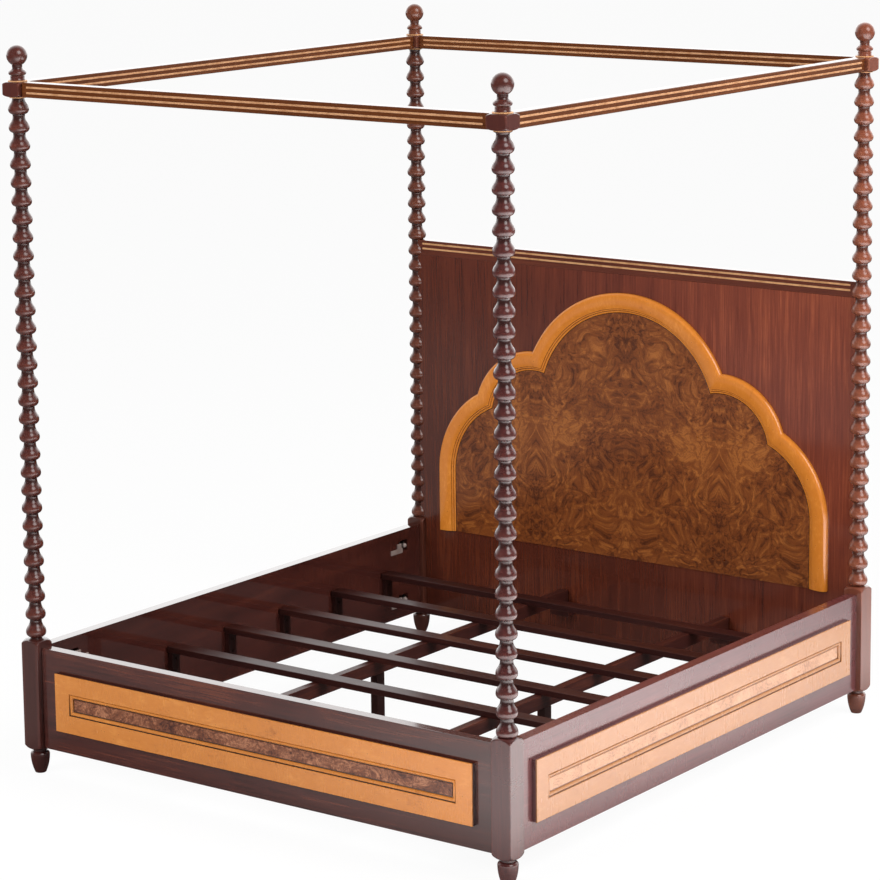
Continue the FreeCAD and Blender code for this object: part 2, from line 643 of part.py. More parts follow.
def make_headboard():
    """Panel and top rail in the posts' grooves, brass lines, arch moulding, burl panel and dowels."""
    half = "span_across / 2 - head_edge"
    depth = (HEAD_FACE, f"{HEAD_FACE} + head_thickness")
    run = (f"-({half})", half)
    holes, dowels = [], []
    for side in (-1, 1):
        for level in ("head_dowel_low", "head_dowel_high"):
            blind = facing(side, f"{half} - dowel_depth - fit_gap", half)
            holes.append(rod("headboard_hole", DOWEL_HOLE, blind, "span_along / 2", level))
            dowels.append(rod("headboard_dowel", "dowel_radius",
                              facing(side, f"{half} - dowel_depth", f"{half} + dowel_depth"),
                              "span_along / 2", level))
    plain = brick("headboard_plain", run, depth, ("rail_bottom", HEAD_PANEL_TOP))
    piece(cut("headboard_panel", plain, holes))
    clear = "span_across / 2 - post_side / 2"
    grooves, lines = [], []
    for levels in line_levels("head_top - head_line_top - line_width - line_between / 2"):
        grooves.append(brick("headboard_groove", run, (HEAD_FACE, f"{HEAD_FACE} + line_depth"), levels))
        lines.append(brick("headboard_line", (f"-({clear})", clear),
                           (f"{HEAD_FACE} - line_proud", f"{HEAD_FACE} + line_depth"), levels))
    plain = brick("headboard_cap", run, depth, (HEAD_PANEL_TOP, "head_top"))
    piece(cut("headboard_top_rail", plain, grooves))
    piece(group("headboard_lines", lines))
    piece(group("headboard_dowels", dowels))
    rings = []
    sight = "arch_band + arch_bead"
    steps = (("band", "0", "arch_band", "arch_thickness"),
             ("bead", "arch_band", sight, "arch_bead_thickness"))
    for name, outer, inner, thickness in steps:
        front = f"{HEAD_FACE} - {thickness}"
        rings.append(cut("arch_" + name, scallop(name + "_outside", outer, HEAD_FACE, front),
                         [scallop(name + "_inside", inner, HEAD_FACE, front)]))
    piece(fused("headboard_arch", rings))
    piece(scallop("headboard_burl", sight, HEAD_FACE, f"{HEAD_FACE} - burl_thickness"))


def make_slats():
    """Slats across the bed, and the screwed blocks on the side rails that carry their ends."""
    half = f"{SIDE_INSIDE} - slat_end_gap"
    blocks, screws = [], []
    for number, place in enumerate(slat_places(), start=1):
        piece(brick(f"slat_{number}", (f"-({half})", half),
                    (f"{place} - slat_width / 2", f"{place} + slat_width / 2"), ("slat_level", SLAT_TOP)))
        for side in (-1, 1):
            inner = f"{SIDE_INSIDE} - seat_depth"
            wide = (f"{place} - seat_width / 2", f"{place} + seat_width / 2")
            plain = brick("slat_block_plain", facing(side, inner, SIDE_INSIDE), wide,
                          ("seat_bottom", "slat_level"))
            holes = []
            for level in screw_levels():
                head = facing(side, inner, f"{inner} + screw_head_height")
                holes.append(rod("screw_hole", SCREW_HOLE, facing(side, inner, SIDE_INSIDE), place, level))
                holes.append(rod("screw_sink", "screw_head + fit_gap", head, place, level))
                reach = facing(side, f"{inner} + screw_head_height", f"{SIDE_INSIDE} + screw_in_rail")
                shank = rod("screw_shank", "screw_radius", reach, place, level)
                screws.append(fused("screw", [rod("screw_top", "screw_head", head, place, level), shank]))
            blocks.append(cut("slat_block", plain, [fused("slat_block_holes", holes)]))
    piece(group("slat_blocks", blocks))
    piece(group("block_screws", screws))


def make_bearers():
    """Long bearers under the slats, on end cleats and a middle leg each."""
    cleats, dowels = [], []
    ends = (f"-({FOOT_INSIDE}) + bearer_end_gap", f"{HEAD_FACE} - bearer_end_gap")
    for name in ("left", "right"):
        centre = f"bearer_{name}"
        wide = (f"{centre} - bearer_width / 2", f"{centre} + bearer_width / 2")
        dowel_low, dowel_high = f"{BEARER_BOTTOM} - dowel_depth", f"{BEARER_BOTTOM} + dowel_depth"
        spot = (centre, "leg_place")
        bearer = brick(name + "_bearer_plain", wide, ends, (BEARER_BOTTOM, "slat_level"))
        hole = rod(name + "_bearer_hole", DOWEL_HOLE, *spot, (BEARER_BOTTOM, f"{dowel_high} + fit_gap"))
        piece(cut("bearer_" + name, bearer, [hole]))
        leg = brick(name + "_leg_plain", wide, ("leg_place - leg_depth / 2", "leg_place + leg_depth / 2"),
                    ("0", BEARER_BOTTOM))
        hole = rod(name + "_leg_hole", DOWEL_HOLE, *spot, (f"{dowel_low} - fit_gap", BEARER_BOTTOM))
        piece(cut("bearer_leg_" + name, leg, [hole]))
        dowels.append(rod(name + "_leg_dowel", "dowel_radius", *spot, (dowel_low, dowel_high)))
        span = (f"{centre} - cleat_length / 2", f"{centre} + cleat_length / 2")
        upright = (f"{BEARER_BOTTOM} - cleat_height", BEARER_BOTTOM)
        at_foot = (f"-({FOOT_INSIDE})", f"-({FOOT_INSIDE}) + cleat_depth")
        at_head = (f"{HEAD_FACE} - cleat_depth", HEAD_FACE)
        cleats.append(brick(name + "_foot_cleat", span, at_foot, upright))
        cleats.append(brick(name + "_head_cleat", span, at_head, upright))
    piece(group("bearer_cleats", cleats))
    piece(group("leg_dowels", dowels))


def check_and_write():
    """Stop if any object failed, then write each sub-part to its own file."""
    doc.recompute()
    for thing in doc.Objects:
        if {"Invalid", "Error"} & set(thing.State):
            raise RuntimeError(f"{thing.Label} did not rebuild: {thing.State}")
    for thing in pieces:
        if thing.Shape.isNull() or not thing.Shape.isValid() or not thing.Shape.Solids:
            raise RuntimeError(f"{thing.Label} has no valid solid")
    os.makedirs("parts", exist_ok=True)
    for thing in pieces:
        thing.Shape.exportStep(f"parts/{thing.Label}.step")
        print(f"{thing.Label}: {len(thing.Shape.Solids)} solid(s), {thing.Shape.Volume:.0f} mm3")


make_posts()
make_tester_blocks()
make_post_tops()
make_tester_rails()
make_bed_rails()
make_headboard()
make_slats()
make_bearers()
check_and_write()
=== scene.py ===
"""Looks of a four-poster canopy bed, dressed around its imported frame."""

import logging
import math
from dataclasses import dataclass, replace
from enum import Enum
from typing import Any, Iterator, Sequence

import bmesh
import bpy
import numpy as np
from mathutils import Matrix, Vector


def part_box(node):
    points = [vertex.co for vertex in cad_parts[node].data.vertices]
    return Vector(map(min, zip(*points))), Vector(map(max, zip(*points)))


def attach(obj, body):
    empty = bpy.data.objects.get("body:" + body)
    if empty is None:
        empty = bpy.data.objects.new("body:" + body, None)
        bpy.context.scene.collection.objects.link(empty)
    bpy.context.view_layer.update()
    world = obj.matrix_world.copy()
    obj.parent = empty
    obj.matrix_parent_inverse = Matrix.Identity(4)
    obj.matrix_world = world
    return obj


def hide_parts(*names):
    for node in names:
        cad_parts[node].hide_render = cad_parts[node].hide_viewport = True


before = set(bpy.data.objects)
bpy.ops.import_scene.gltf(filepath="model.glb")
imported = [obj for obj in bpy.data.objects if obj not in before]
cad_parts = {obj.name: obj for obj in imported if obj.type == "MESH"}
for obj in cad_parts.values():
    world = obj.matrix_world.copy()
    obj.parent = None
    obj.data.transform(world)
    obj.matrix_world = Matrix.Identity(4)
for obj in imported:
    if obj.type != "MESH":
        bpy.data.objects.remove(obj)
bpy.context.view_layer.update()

LOG = logging.getLogger("canopy_bed")
BED = "bed"
SHARP_ANGLE = math.radians(40)
MERGE_DISTANCE = 1e-6
WELD_DISTANCE = 1e-5
FULLEST_ROUND = 0.98
BEVEL_STEPS = 3
RELIEF = "relief"
Colour = tuple[float, float, float]
Place = tuple[float, float, float]

# Painted light and shade on some woods, darker low on the left and paler high on the right: the way from
# darkest to palest, and where along it that starts and ends
PAINTED_SHADING_WAY: Place = (0.66, 0.0, 0.75)
PAINTED_SHADING_REACH = (0.1, 1.5)
NO_PAINTED_SHADING = (1.0, 1.0)


class Axis(Enum):
    """The way a piece runs in the bed's frame: across, along or up."""

    ACROSS = 0
    ALONG = 1
    UP = 2


class Side(Enum):
    """A bed rail by its face, with the way along it and the way out of it."""

    FOOT = ((1, 0, 0), (0, -1, 0))
    LEFT = ((0, -1, 0), (-1, 0, 0))
    RIGHT = ((0, 1, 0), (1, 0, 0))


@dataclass(frozen=True)
class Corner:
    """One of the bed's four corners.

    Attributes:
        name: the corner's name in the frame.
        x: place of the post's centre line across the bed.
        y: place of the post's centre line along the bed.
    """

    name: str
    x: float
    y: float


def corners() -> Iterator[Corner]:
    """The four corners, placed by the middle of each post's box.

    Yields:
        Each corner in turn.
    """
    for name in ("foot_left", "foot_right", "head_left", "head_right"):
        low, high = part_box("post_" + name)
        yield Corner(name, (low.x + high.x) / 2, (low.y + high.y) / 2)


@dataclass
class Surface:
    """A closed surface before it becomes a mesh.

    Attributes:
        points: one row of three coordinates for each point.
        quads: one row of four point numbers for each face.
        caps: rings of point numbers that close open ends.
        relief: for each point, from -1 in a hollow to 1 on a proud edge.
    """

    points: np.ndarray
    quads: np.ndarray
    caps: list[np.ndarray]
    relief: np.ndarray


def tube(grid: np.ndarray, relief: np.ndarray, ring: bool = False) -> Surface:
    """Join a grid of points into a tube whose columns close on themselves.

    Each face takes four neighbours of the grid. The first and last rows become flat caps, unless
    the rows close on themselves too.

    Args:
        grid: points as rows, columns and three coordinates.
        relief: relief for each row and column.
        ring: whether the last row joins the first.

    Returns:
        The closed surface.
    """
    rows, columns = grid.shape[:2]
    number = np.arange(rows * columns).reshape(rows, columns)
    below = number if ring else number[:-1]
    above = np.roll(number, -1, axis=0) if ring else number[1:]
    quads = np.stack([below, np.roll(below, -1, axis=1), np.roll(above, -1, axis=1), above], axis=-1)
    caps = [] if ring else [number[0][::-1], number[-1]]
    flat_relief = np.broadcast_to(relief, (rows, columns)).ravel()
    return Surface(grid.reshape(-1, 3), quads.reshape(-1, 4), caps, flat_relief)


def rounded_bar(low: Sequence[float], high: Sequence[float], radius: float, run: Axis,
                steps: int = 4) -> Surface:
    """A straight bar with rounded edges.

    A small ball is carried round the corners of a box that is drawn in by the ball's radius:
    longitude turns round the bar with a stop at each long edge, and latitude passes over its two ends.

    Args:
        low: lowest corner.
        high: highest corner.
        radius: radius of the edges.
        run: the way the bar runs.
        steps: faces in each rounded edge.

    Returns:
        The bar's surface, with relief on its edges.
    """
    low, high = np.array(low, float), np.array(high, float)
    half = (high - low) / 2
    radius = min(radius, FULLEST_ROUND * half.min())
    quarter = np.linspace(0, np.pi / 2, steps + 1)
    longitude = (quarter + np.pi / 2 * np.arange(4)[:, None]).ravel()
    turn = np.tile(quarter, 4)
    latitude = np.concatenate([quarter - np.pi / 2, quarter])
    end = np.repeat([-1.0, 1.0], steps + 1)
    sign_one = np.repeat([1.0, -1.0, -1.0, 1.0], steps + 1)
    sign_two = np.repeat([1.0, 1.0, -1.0, -1.0], steps + 1)
    one, two = [axis for axis in range(3) if axis != run.value]
    grid = np.zeros((latitude.size, longitude.size, 3))
    inner = half - radius
    grid[..., one] = sign_one * inner[one] + radius * np.outer(np.cos(latitude), np.cos(longitude))
    grid[..., two] = sign_two * inner[two] + radius * np.outer(np.cos(latitude), np.sin(longitude))
    grid[..., run.value] = (end * inner[run.value] + radius * np.sin(latitude))[:, None]
    relief = np.outer(np.cos(latitude), np.sin(2 * turn)) + np.abs(np.sin(2 * latitude))[:, None]
    return tube(grid + (low + high) / 2, np.clip(relief, 0, 1))


def arc(start: Sequence[float], stop: Sequence[float], radius: float, steps: int) -> np.ndarray:
    """Points on a round curve between two points of a profile, without the last point.

    The centre lies on the line that halves the chord, at the distance that gives the radius. A positive
    radius turns left on the way from start to stop and a negative one turns right.

    Args:
        start: first point.
        stop: last point.
        radius: signed radius.
        steps: points on the curve.

    Returns:
        Points as rows of two numbers.
    """
    start, stop = np.array(start, float), np.array(stop, float)
    chord = stop - start
    length = np.hypot(*chord)
    size = max(abs(radius), length / 2)
    rise = math.sqrt(size * size - length * length / 4)
    left = np.array([-chord[1], chord[0]]) / length
    centre = (start + stop) / 2 + math.copysign(rise, radius) * left
    first = math.atan2(*(start - centre)[::-1])
    sweep = math.copysign(2 * math.asin(min(1.0, length / (2 * size))), radius)
    angle = first + sweep * np.arange(steps) / steps
    return centre + size * np.stack([np.cos(angle), np.sin(angle)], axis=1)


def upright_arc(rise: float, reach: float) -> float:
    """Radius of a curve that starts upright and moves sideways by reach over a rise."""
    return (reach * reach + rise * rise) / (2 * reach)


def turning(profile: np.ndarray, corner: Corner, relief: np.ndarray) -> Surface:
    """A round turning: each profile point is a radius and a height, carried round a centre line.

    Args:
        profile: radius and height in rows, from the bottom up.
        corner: where the centre line stands.
        relief: relief for each row.

    Returns:
        The turned surface.
    """
    segments = 64
    angle = np.linspace(0, 2 * np.pi, segments, endpoint=False)
    radius = np.repeat(profile[:, :1], segments, axis=1)
    return spun(radius, profile[:, 1], angle, corner, np.repeat(relief[:, None], segments, axis=1))


def square_turning(profile: np.ndarray, half: float, corner: Corner, relief: np.ndarray) -> Surface:
    """A turning cut from square stock: its radius is the smaller of the lathe's and the square's.

    At every angle the two radii are joined by a soft minimum, the inverse of a sum of inverse powers. The
    square itself is a superellipse, so that every arris is slightly rounded. Columns stand closer together
    at the corners.

    Args:
        profile: radius and height in rows, from the bottom up.
        half: half the side of the square.
        corner: where the centre line stands.
        relief: relief for each row.

    Returns:
        The surface of square block and turned parts in one.
    """
    segments, crowding, power, blend = 80, 0.8, 44.0, 60.0
    arris_start, arris_width = 1.2 * half, 0.15 * half
    even = np.linspace(0, 2 * np.pi, segments, endpoint=False)
    angle = even + crowding * np.sin(4 * even) / 4
    square = half / (np.abs(np.cos(angle)) ** power + np.abs(np.sin(angle)) ** power) ** (1 / power)
    lathe = np.maximum(profile[:, :1], MERGE_DISTANCE)
    radius = lathe * (1 + (lathe / square) ** blend) ** (-1 / blend)
    edge = np.clip((radius - arris_start) / arris_width, 0, 1)
    return spun(radius, profile[:, 1], angle, corner, np.clip(relief[:, None] + edge, -1, 1))


def spun(radius: np.ndarray, height: np.ndarray, angle: np.ndarray, corner: Corner,
         relief: np.ndarray) -> Surface:
    """Points at a radius for every height and angle, about a corner's centre line.

    Args:
        radius: radius in rows of heights and columns of angles.
        height: height of each row.
        angle: angle of each column.
        corner: where the centre line stands.
        relief: relief for each row and column.

    Returns:
        The closed surface.
    """
    grid = np.stack([corner.x + radius * np.cos(angle), corner.y + radius * np.sin(angle),
                     np.broadcast_to(height[:, None], radius.shape)], axis=-1)
    return tube(grid, relief)


def mesh_object(name: str, surfaces: Sequence[Surface]) -> bpy.types.Object:
    """One mesh object from closed surfaces, with doubles merged and faces pointing outwards.

    Args:
        name: the object's name.
        surfaces: the closed surfaces.

    Returns:
        The linked object, at the origin.
    """
    starts = np.cumsum([0] + [len(surface.points) for surface in surfaces[:-1]])
    faces: list[list[int]] = []
    for start, surface in zip(starts, surfaces):
        faces += (surface.quads + start).tolist()
        faces += [(cap + start).tolist() for cap in surface.caps]
    mesh = bpy.data.meshes.new(name)
    mesh.from_pydata(np.concatenate([surface.points for surface in surfaces]), [], faces)
    layer = mesh.attributes.new(RELIEF, "FLOAT", "POINT")
    relief = np.concatenate([surface.relief for surface in surfaces])
    layer.data.foreach_set("value", relief.astype(np.float32))
    work = bmesh.new()
    work.from_mesh(mesh)
    bmesh.ops.remove_doubles(work, verts=work.verts, dist=MERGE_DISTANCE)
    bmesh.ops.dissolve_degenerate(work, dist=MERGE_DISTANCE, edges=work.edges)
    bmesh.ops.recalc_face_normals(work, faces=work.faces)
    work.to_mesh(mesh)
    work.free()
    mesh.shade_smooth()
    mesh.set_sharp_from_angle(angle=SHARP_ANGLE)
    thing = bpy.data.objects.new(name, mesh)
    bpy.context.scene.collection.objects.link(thing)
    return thing


def add_piece(name: str, surfaces: Sequence[Surface], finish: "Finish", stands_for: Sequence[str],
              body: str = BED, flats: bool = True) -> bpy.types.Object:
    """A finished piece that rides on a body and stands for nodes of the frame.

    Args:
        name: the piece's name.
        surfaces: its closed surfaces.
        finish: its finish.
        stands_for: the nodes that it replaces.
        body: the body that carries it.
        flats: whether flat faces keep flat shading beside rounded edges.

    Returns:
        The piece.
    """
    piece = mesh_object(name, surfaces)
    piece.data.materials.append(finish.material())
    if flats:
        piece.modifiers.new("flat_faces", "WEIGHTED_NORMAL").keep_sharp = True
    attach(piece, body)
    if stands_for:
        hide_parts(*stands_for)
    LOG.info("%s: %d faces, for %s", name, len(piece.data.polygons), ", ".join(stands_for) or "no node")
    return piece


def dress_node(name: str, finish: "Finish", edge: float = 0.0) -> None:
    """Give a node of the frame its finish and, where asked, softened edges.

    Args:
        name: the node.
        finish: its finish.
        edge: radius of the softened edges, or 0 for none.
    """
    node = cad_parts[name]
    node.data.materials.clear()
    node.data.materials.append(finish.material())
    if edge:
        node.modifiers.new("join", "WELD").merge_threshold = WELD_DISTANCE
        bevel = node.modifiers.new("soft_edges", "BEVEL")
        bevel.width = edge
        bevel.segments = BEVEL_STEPS
        bevel.limit_method = "ANGLE"
        bevel.angle_limit = SHARP_ANGLE
        bevel.harden_normals = True
    LOG.info("%s: dressed node", name)


class Graph:
    """A node tree with short calls that add nodes and join them."""

    # Sockets of a node that mixes colours: factor and both colours, and the result
    MIX_INPUTS = (0, 6, 7)
    MIX_RESULT = 2

    def __init__(self, tree: bpy.types.NodeTree) -> None:
        """Keep the tree and start it empty."""
        self.tree = tree
        tree.nodes.clear()

    def feed(self, socket: bpy.types.NodeSocket, value: Any) -> None:
        """Link an output to a socket, or set the socket's own value.

        Args:
            socket: the input socket.
            value: an output, a number or a row of numbers.
        """
        if isinstance(value, bpy.types.NodeSocket):
            self.tree.links.new(value, socket)
        elif hasattr(value, "__len__") and socket.type == "RGBA":
            socket.default_value = (*value[:3], 1.0)
        else:
            socket.default_value = value

    def add(self, kind: str, inputs: dict[str, Any] | None = None, **settings: Any) -> bpy.types.Node:
        """Add a node.

        Args:
            kind: the node's type, without its common first word.
            inputs: values or outputs for its sockets, by name.
            settings: the node's own settings.

        Returns:
            The node.
        """
        node = self.tree.nodes.new("ShaderNode" + kind)
        for name, value in settings.items():
            setattr(node, name, value)
        for name, value in (inputs or {}).items():
            self.feed(node.inputs[name], value)
        return node

    def reckon(self, kind: str, operation: str, *values: Any) -> bpy.types.NodeOutputs:
        """Add a node that reckons with its inputs.

        Args:
            kind: the node's type, without its common first word.
            operation: what it does.
            values: values or outputs for its sockets, in their order.

        Returns:
            The node's outputs.
        """
        node = self.add(kind, operation=operation)
        for socket, value in zip(node.inputs, values):
            self.feed(socket, value)
        return node.outputs

    def math(self, operation: str, *values: Any) -> bpy.types.NodeSocket:
        """The result of a sum on one to three values."""
        return self.reckon("Math", operation, *values)[0]

    def mix(self, factor: Any, first: Any, second: Any, blend: str = "MIX") -> bpy.types.NodeSocket:
        """Two colours mixed by a factor.

        Args:
            factor: share of the second colour.
            first: the first colour.
            second: the second colour.
            blend: the way they are mixed.

        Returns:
            The mixed colour's output.
        """
        node = self.add("Mix", data_type="RGBA", blend_type=blend)
        node.clamp_factor = True
        for index, value in zip(self.MIX_INPUTS, (factor, first, second)):
            self.feed(node.inputs[index], value)
        return node.outputs[self.MIX_RESULT]

    def spread(self, value: Any, low: float, high: float, start: float = 0.0,
               stop: float = 1.0) -> bpy.types.NodeSocket:
        """A value brought from one range to another, with a gentle start and end.

        Args:
            value: the value.
            low: where its range starts.
            high: where its range ends.
            start: result at the range's start.
            stop: result at the range's end.

        Returns:
            The result's output.
        """
        sockets = {"Value": value, "From Min": low, "From Max": high, "To Min": start, "To Max": stop}
        return self.add("MapRange", sockets, interpolation_type="SMOOTHSTEP").outputs["Result"]

    def stretch(self, vector: Any, scale: Sequence[float]) -> bpy.types.NodeSocket:
        """A vector multiplied along each axis."""
        return self.reckon("VectorMath", "MULTIPLY", vector, scale)[0]

    def scaled(self, vector: Any, scale: Any) -> bpy.types.NodeSocket:
        """A vector multiplied by one number."""
        return self.add("VectorMath", {"Vector": vector, "Scale": scale}, operation="SCALE").outputs[0]

    def swayed(self, vector: Any, push: Any, reach: Place) -> bpy.types.NodeSocket:
        """A vector moved by a colour of noise, by a reach along each axis."""
        return self.reckon("VectorMath", "MULTIPLY_ADD", push, reach, vector)[0]

    def total(self, *shares: tuple[Any, float]) -> bpy.types.NodeSocket:
        """The sum of values, each times its share.

        Args:
            shares: pairs of a value and its share.

        Returns:
            The sum's output.
        """
        found: Any = 0.0
        for value, share in shares:
            found = self.math("MULTIPLY_ADD", value, share, found)
        return found

    def noise(self, vector: Any, scale: float = 1.0, detail: float = 2.0, rough: float = 0.5,
              distortion: float = 0.0, output: str = "Fac") -> bpy.types.NodeSocket:
        """Cloudy noise.

        Args:
            vector: where it is drawn.
            scale: how fine it is.
            detail: steps of finer noise in it.
            rough: strength of the finer steps.
            distortion: how far it is drawn out.
            output: the output that is taken.

        Returns:
            That output.
        """
        sockets = {"Vector": vector, "Scale": scale, "Detail": detail, "Roughness": rough,
                   "Distortion": distortion}
        return self.add("TexNoise", sockets).outputs[output]

    def dot(self, vector: Any, way: Place) -> bpy.types.NodeSocket:
        """How far a vector reaches along a direction."""
        return self.reckon("VectorMath", "DOT_PRODUCT", vector, way)["Value"]


def group_of(name: str, inputs: dict[str, str],
             outputs: dict[str, str]) -> tuple[Graph, dict, dict] | None:
    """Start a shader node group with named sockets, unless it is there already.

    Args:
        name: the group's name.
        inputs: socket kinds by name.
        outputs: socket kinds by name.

    Returns:
        The group's graph, its input outputs and its output inputs, or nothing if it was built before.
    """
    if name in bpy.data.node_groups:
        return None
    tree = bpy.data.node_groups.new(name, "ShaderNodeTree")
    for way, sockets in (("INPUT", inputs), ("OUTPUT", outputs)):
        for socket, kind in sockets.items():
            tree.interface.new_socket(name=socket, in_out=way, socket_type="NodeSocket" + kind)
    graph = Graph(tree)
    entry = tree.nodes.new("NodeGroupInput")
    leave = tree.nodes.new("NodeGroupOutput")
    taken = {key: entry.outputs[key] for key in inputs}
    given = {key: leave.inputs[key] for key in outputs}
    return graph, taken, given


def place_group(graph: Graph, name: str, inputs: dict[str, Any]) -> bpy.types.NodeOutputs:
    """Place a built group in a material with its own values.

    Args:
        graph: the material's graph.
        name: the group's name.
        inputs: values or outputs for its sockets, by name.

    Returns:
        The placed group's outputs.
    """
    node = graph.tree.nodes.new("ShaderNodeGroup")
    node.node_tree = bpy.data.node_groups[name]
    for socket, value in inputs.items():
        graph.feed(node.inputs[socket], value)
    return node.outputs


GRAIN_GROUP = "long_grain"
EYES_GROUP = "birds_eye_figure"
BURL_GROUP = "burl_figure"
POLISH_GROUP = "hand_polish"
WEAR_AND_SHADE_GROUP = "edge_wear_and_shade"
FIGURE_SOCKETS = {"Vector": "Vector", "Dark": "Color", "Middle": "Color", "Light": "Color"}
FIGURE_OUTPUTS = {"Color": "Color", "Height": "Float"}


def build_grain_group() -> None:
    """Long grain along the third axis: clouds and ribbons, streaks, hair lines and short open pores."""
    made = group_of(GRAIN_GROUP, FIGURE_SOCKETS | {"Ribbon": "Float", "Contrast": "Float"}, FIGURE_OUTPUTS)
    if made is None:
        return
    graph, entry, leave = made
    vector = entry["Vector"]
    sway = graph.noise(graph.stretch(vector, (2.0, 2.0, 1.1)), detail=1.0, output="Color")
    path = graph.swayed(vector, sway, (0.02, 0.02, 0.0))
    ribbon_path = graph.scaled(graph.stretch(path, (1.0, 1.0, 0.035)), entry["Ribbon"])
    ribbon = graph.noise(ribbon_path, detail=2.0, rough=0.55)
    streak = graph.noise(graph.stretch(path, (150, 150, 5.0)), detail=3.0, rough=0.6)
    hair = graph.noise(graph.stretch(path, (560, 560, 12.0)), detail=2.0)
    cloud = graph.noise(vector, scale=2.4, detail=2.0)
    blend = graph.total((cloud, 0.25), (ribbon, 0.25), (streak, 0.34), (hair, 0.16))
    figure = graph.math("MULTIPLY_ADD", graph.math("SUBTRACT", blend, 0.5), entry["Contrast"], 0.5)
    low = graph.mix(graph.spread(figure, 0.22, 0.52), entry["Dark"], entry["Middle"])
    colour = graph.mix(graph.spread(figure, 0.48, 0.8), low, entry["Light"])
    dashes = graph.noise(graph.stretch(path, (950, 950, 46)), detail=1.0)
    thick = graph.spread(streak, 0.35, 0.6, 0.25, 1.0)
    pores = graph.math("MULTIPLY", graph.spread(dashes, 0.62, 0.7), thick)
    graph.feed(leave["Color"], graph.mix(graph.math("MULTIPLY", pores, 0.35), colour, entry["Dark"]))
    graph.feed(leave["Height"], graph.total((hair, 0.25), (pores, -0.6)))


def build_eyes_group() -> None:
    """Bird's-eye figure: mottled ground, short fibre flecks and small dark eyes with pale rims."""
    made = group_of(EYES_GROUP, FIGURE_SOCKETS, FIGURE_OUTPUTS)
    if made is None:
        return
    graph, entry, leave = made
    vector = entry["Vector"]
    cloud = graph.noise(vector, scale=7.0, detail=3.0, rough=0.6, distortion=0.6)
    mottle = graph.noise(graph.stretch(vector, (60, 60, 26)), detail=3.0, rough=0.65, distortion=0.8)
    fleck = graph.noise(graph.stretch(vector, (420, 420, 70)), detail=2.0)
    blend = graph.total((cloud, 0.36), (mottle, 0.42), (fleck, 0.22))
    low = graph.mix(graph.spread(blend, 0.2, 0.46), entry["Dark"], entry["Middle"])
    ground = graph.mix(graph.spread(blend, 0.48, 0.74), low, entry["Light"])
    wobble = graph.noise(vector, scale=120.0, detail=1.0, output="Color")
    place = graph.swayed(vector, wobble, (0.006, 0.006, 0.006))
    cells = graph.add("TexVoronoi", {"Vector": place, "Scale": 58.0, "Randomness": 1.0})
    lot = graph.add("SeparateColor", {"Color": cells.outputs["Color"]}).outputs[0]
    chosen = graph.math("GREATER_THAN", lot, 0.52)
    eye = graph.math("MULTIPLY", graph.spread(cells.outputs["Distance"], 0.07, 0.17, 1.0, 0.0), chosen)
    rim = graph.math("MULTIPLY", graph.spread(cells.outputs["Distance"], 0.16, 0.34, 1.0, 0.0), chosen)
    pale = graph.mix(graph.math("MULTIPLY", rim, 0.35), ground, entry["Light"])
    graph.feed(leave["Color"], graph.mix(graph.math("MULTIPLY", eye, 0.72), pale, entry["Dark"]))
    graph.feed(leave["Height"], graph.total((mottle, 0.4), (eye, -0.5)))


def build_burl_group() -> None:
    """Burl figure: soft patches drawn out by eddies and ripples, dark flow lines and clusters of eyes."""
    made = group_of(BURL_GROUP, FIGURE_SOCKETS | {"Size": "Float"}, FIGURE_OUTPUTS)
    if made is None:
        return
    graph, entry, leave = made
    vector = graph.scaled(entry["Vector"], entry["Size"])
    eddies = graph.noise(vector, scale=3.6, detail=2.0, rough=0.5, output="Color")
    swirl = graph.swayed(vector, eddies, (0.3, 0.3, 0.3))
    ripple = graph.noise(swirl, scale=11.0, detail=2.0, output="Color")
    curl = graph.swayed(swirl, ripple, (0.07, 0.07, 0.07))
    patch = graph.noise(curl, scale=5.0, detail=3.0, rough=0.55)
    mottle = graph.noise(curl, scale=46.0, detail=4.0, rough=0.6, distortion=0.9)
    grit = graph.noise(vector, scale=210.0, detail=2.0, rough=0.7)
    blend = graph.total((patch, 0.3), (mottle, 0.54), (grit, 0.16))
    low = graph.mix(graph.spread(blend, 0.37, 0.5), entry["Dark"], entry["Middle"])
    ground = graph.mix(graph.spread(blend, 0.48, 0.63), low, entry["Light"])
    field = graph.noise(curl, scale=7.5, detail=2.0, rough=0.45)
    wave = graph.math("ABSOLUTE", graph.math("SINE", graph.total((mottle, 1.6), (field, 66.0))))
    where = graph.spread(graph.noise(swirl, scale=4.2, detail=2.0), 0.36, 0.58, 0.45, 1.0)
    vein = graph.math("MULTIPLY", graph.spread(wave, 0.0, 0.42, 1.0, 0.0), where)
    knots = graph.add("TexVoronoi", {"Vector": curl, "Scale": 30.0, "Randomness": 1.0})
    knot = graph.math("MULTIPLY", graph.spread(knots.outputs["Distance"], 0.08, 0.3, 1.0, 0.0),
                      graph.spread(graph.noise(vector, scale=6.0, detail=1.0), 0.5, 0.64))
    dark = graph.math("MULTIPLY", graph.math("MAXIMUM", vein, knot), 0.55)
    graph.feed(leave["Color"], graph.mix(dark, ground, entry["Dark"]))
    graph.feed(leave["Height"], graph.total((mottle, 0.3), (dark, -0.3)))


def build_polish_group() -> None:
    """Hand polish: a roughness that drifts in patches and smears, and the faint waves of thick polish."""
    made = group_of(POLISH_GROUP, {"Vector": "Vector", "Roughness": "Float", "Drift": "Float"},
                    {"Roughness": "Float", "Height": "Float"})
    if made is None:
        return
    graph, entry, leave = made
    patches = graph.noise(entry["Vector"], scale=6.0, detail=4.0, rough=0.6)
    smears = graph.noise(graph.stretch(entry["Vector"], (9, 9, 60)), detail=2.0, distortion=1.0)
    drift = graph.math("SUBTRACT", graph.total((patches, 0.7), (smears, 0.3)), 0.5)
    graph.feed(leave["Roughness"], graph.math("MULTIPLY_ADD", drift, entry["Drift"], entry["Roughness"]))
    graph.feed(leave["Height"], graph.noise(entry["Vector"], scale=70.0, detail=1.0))


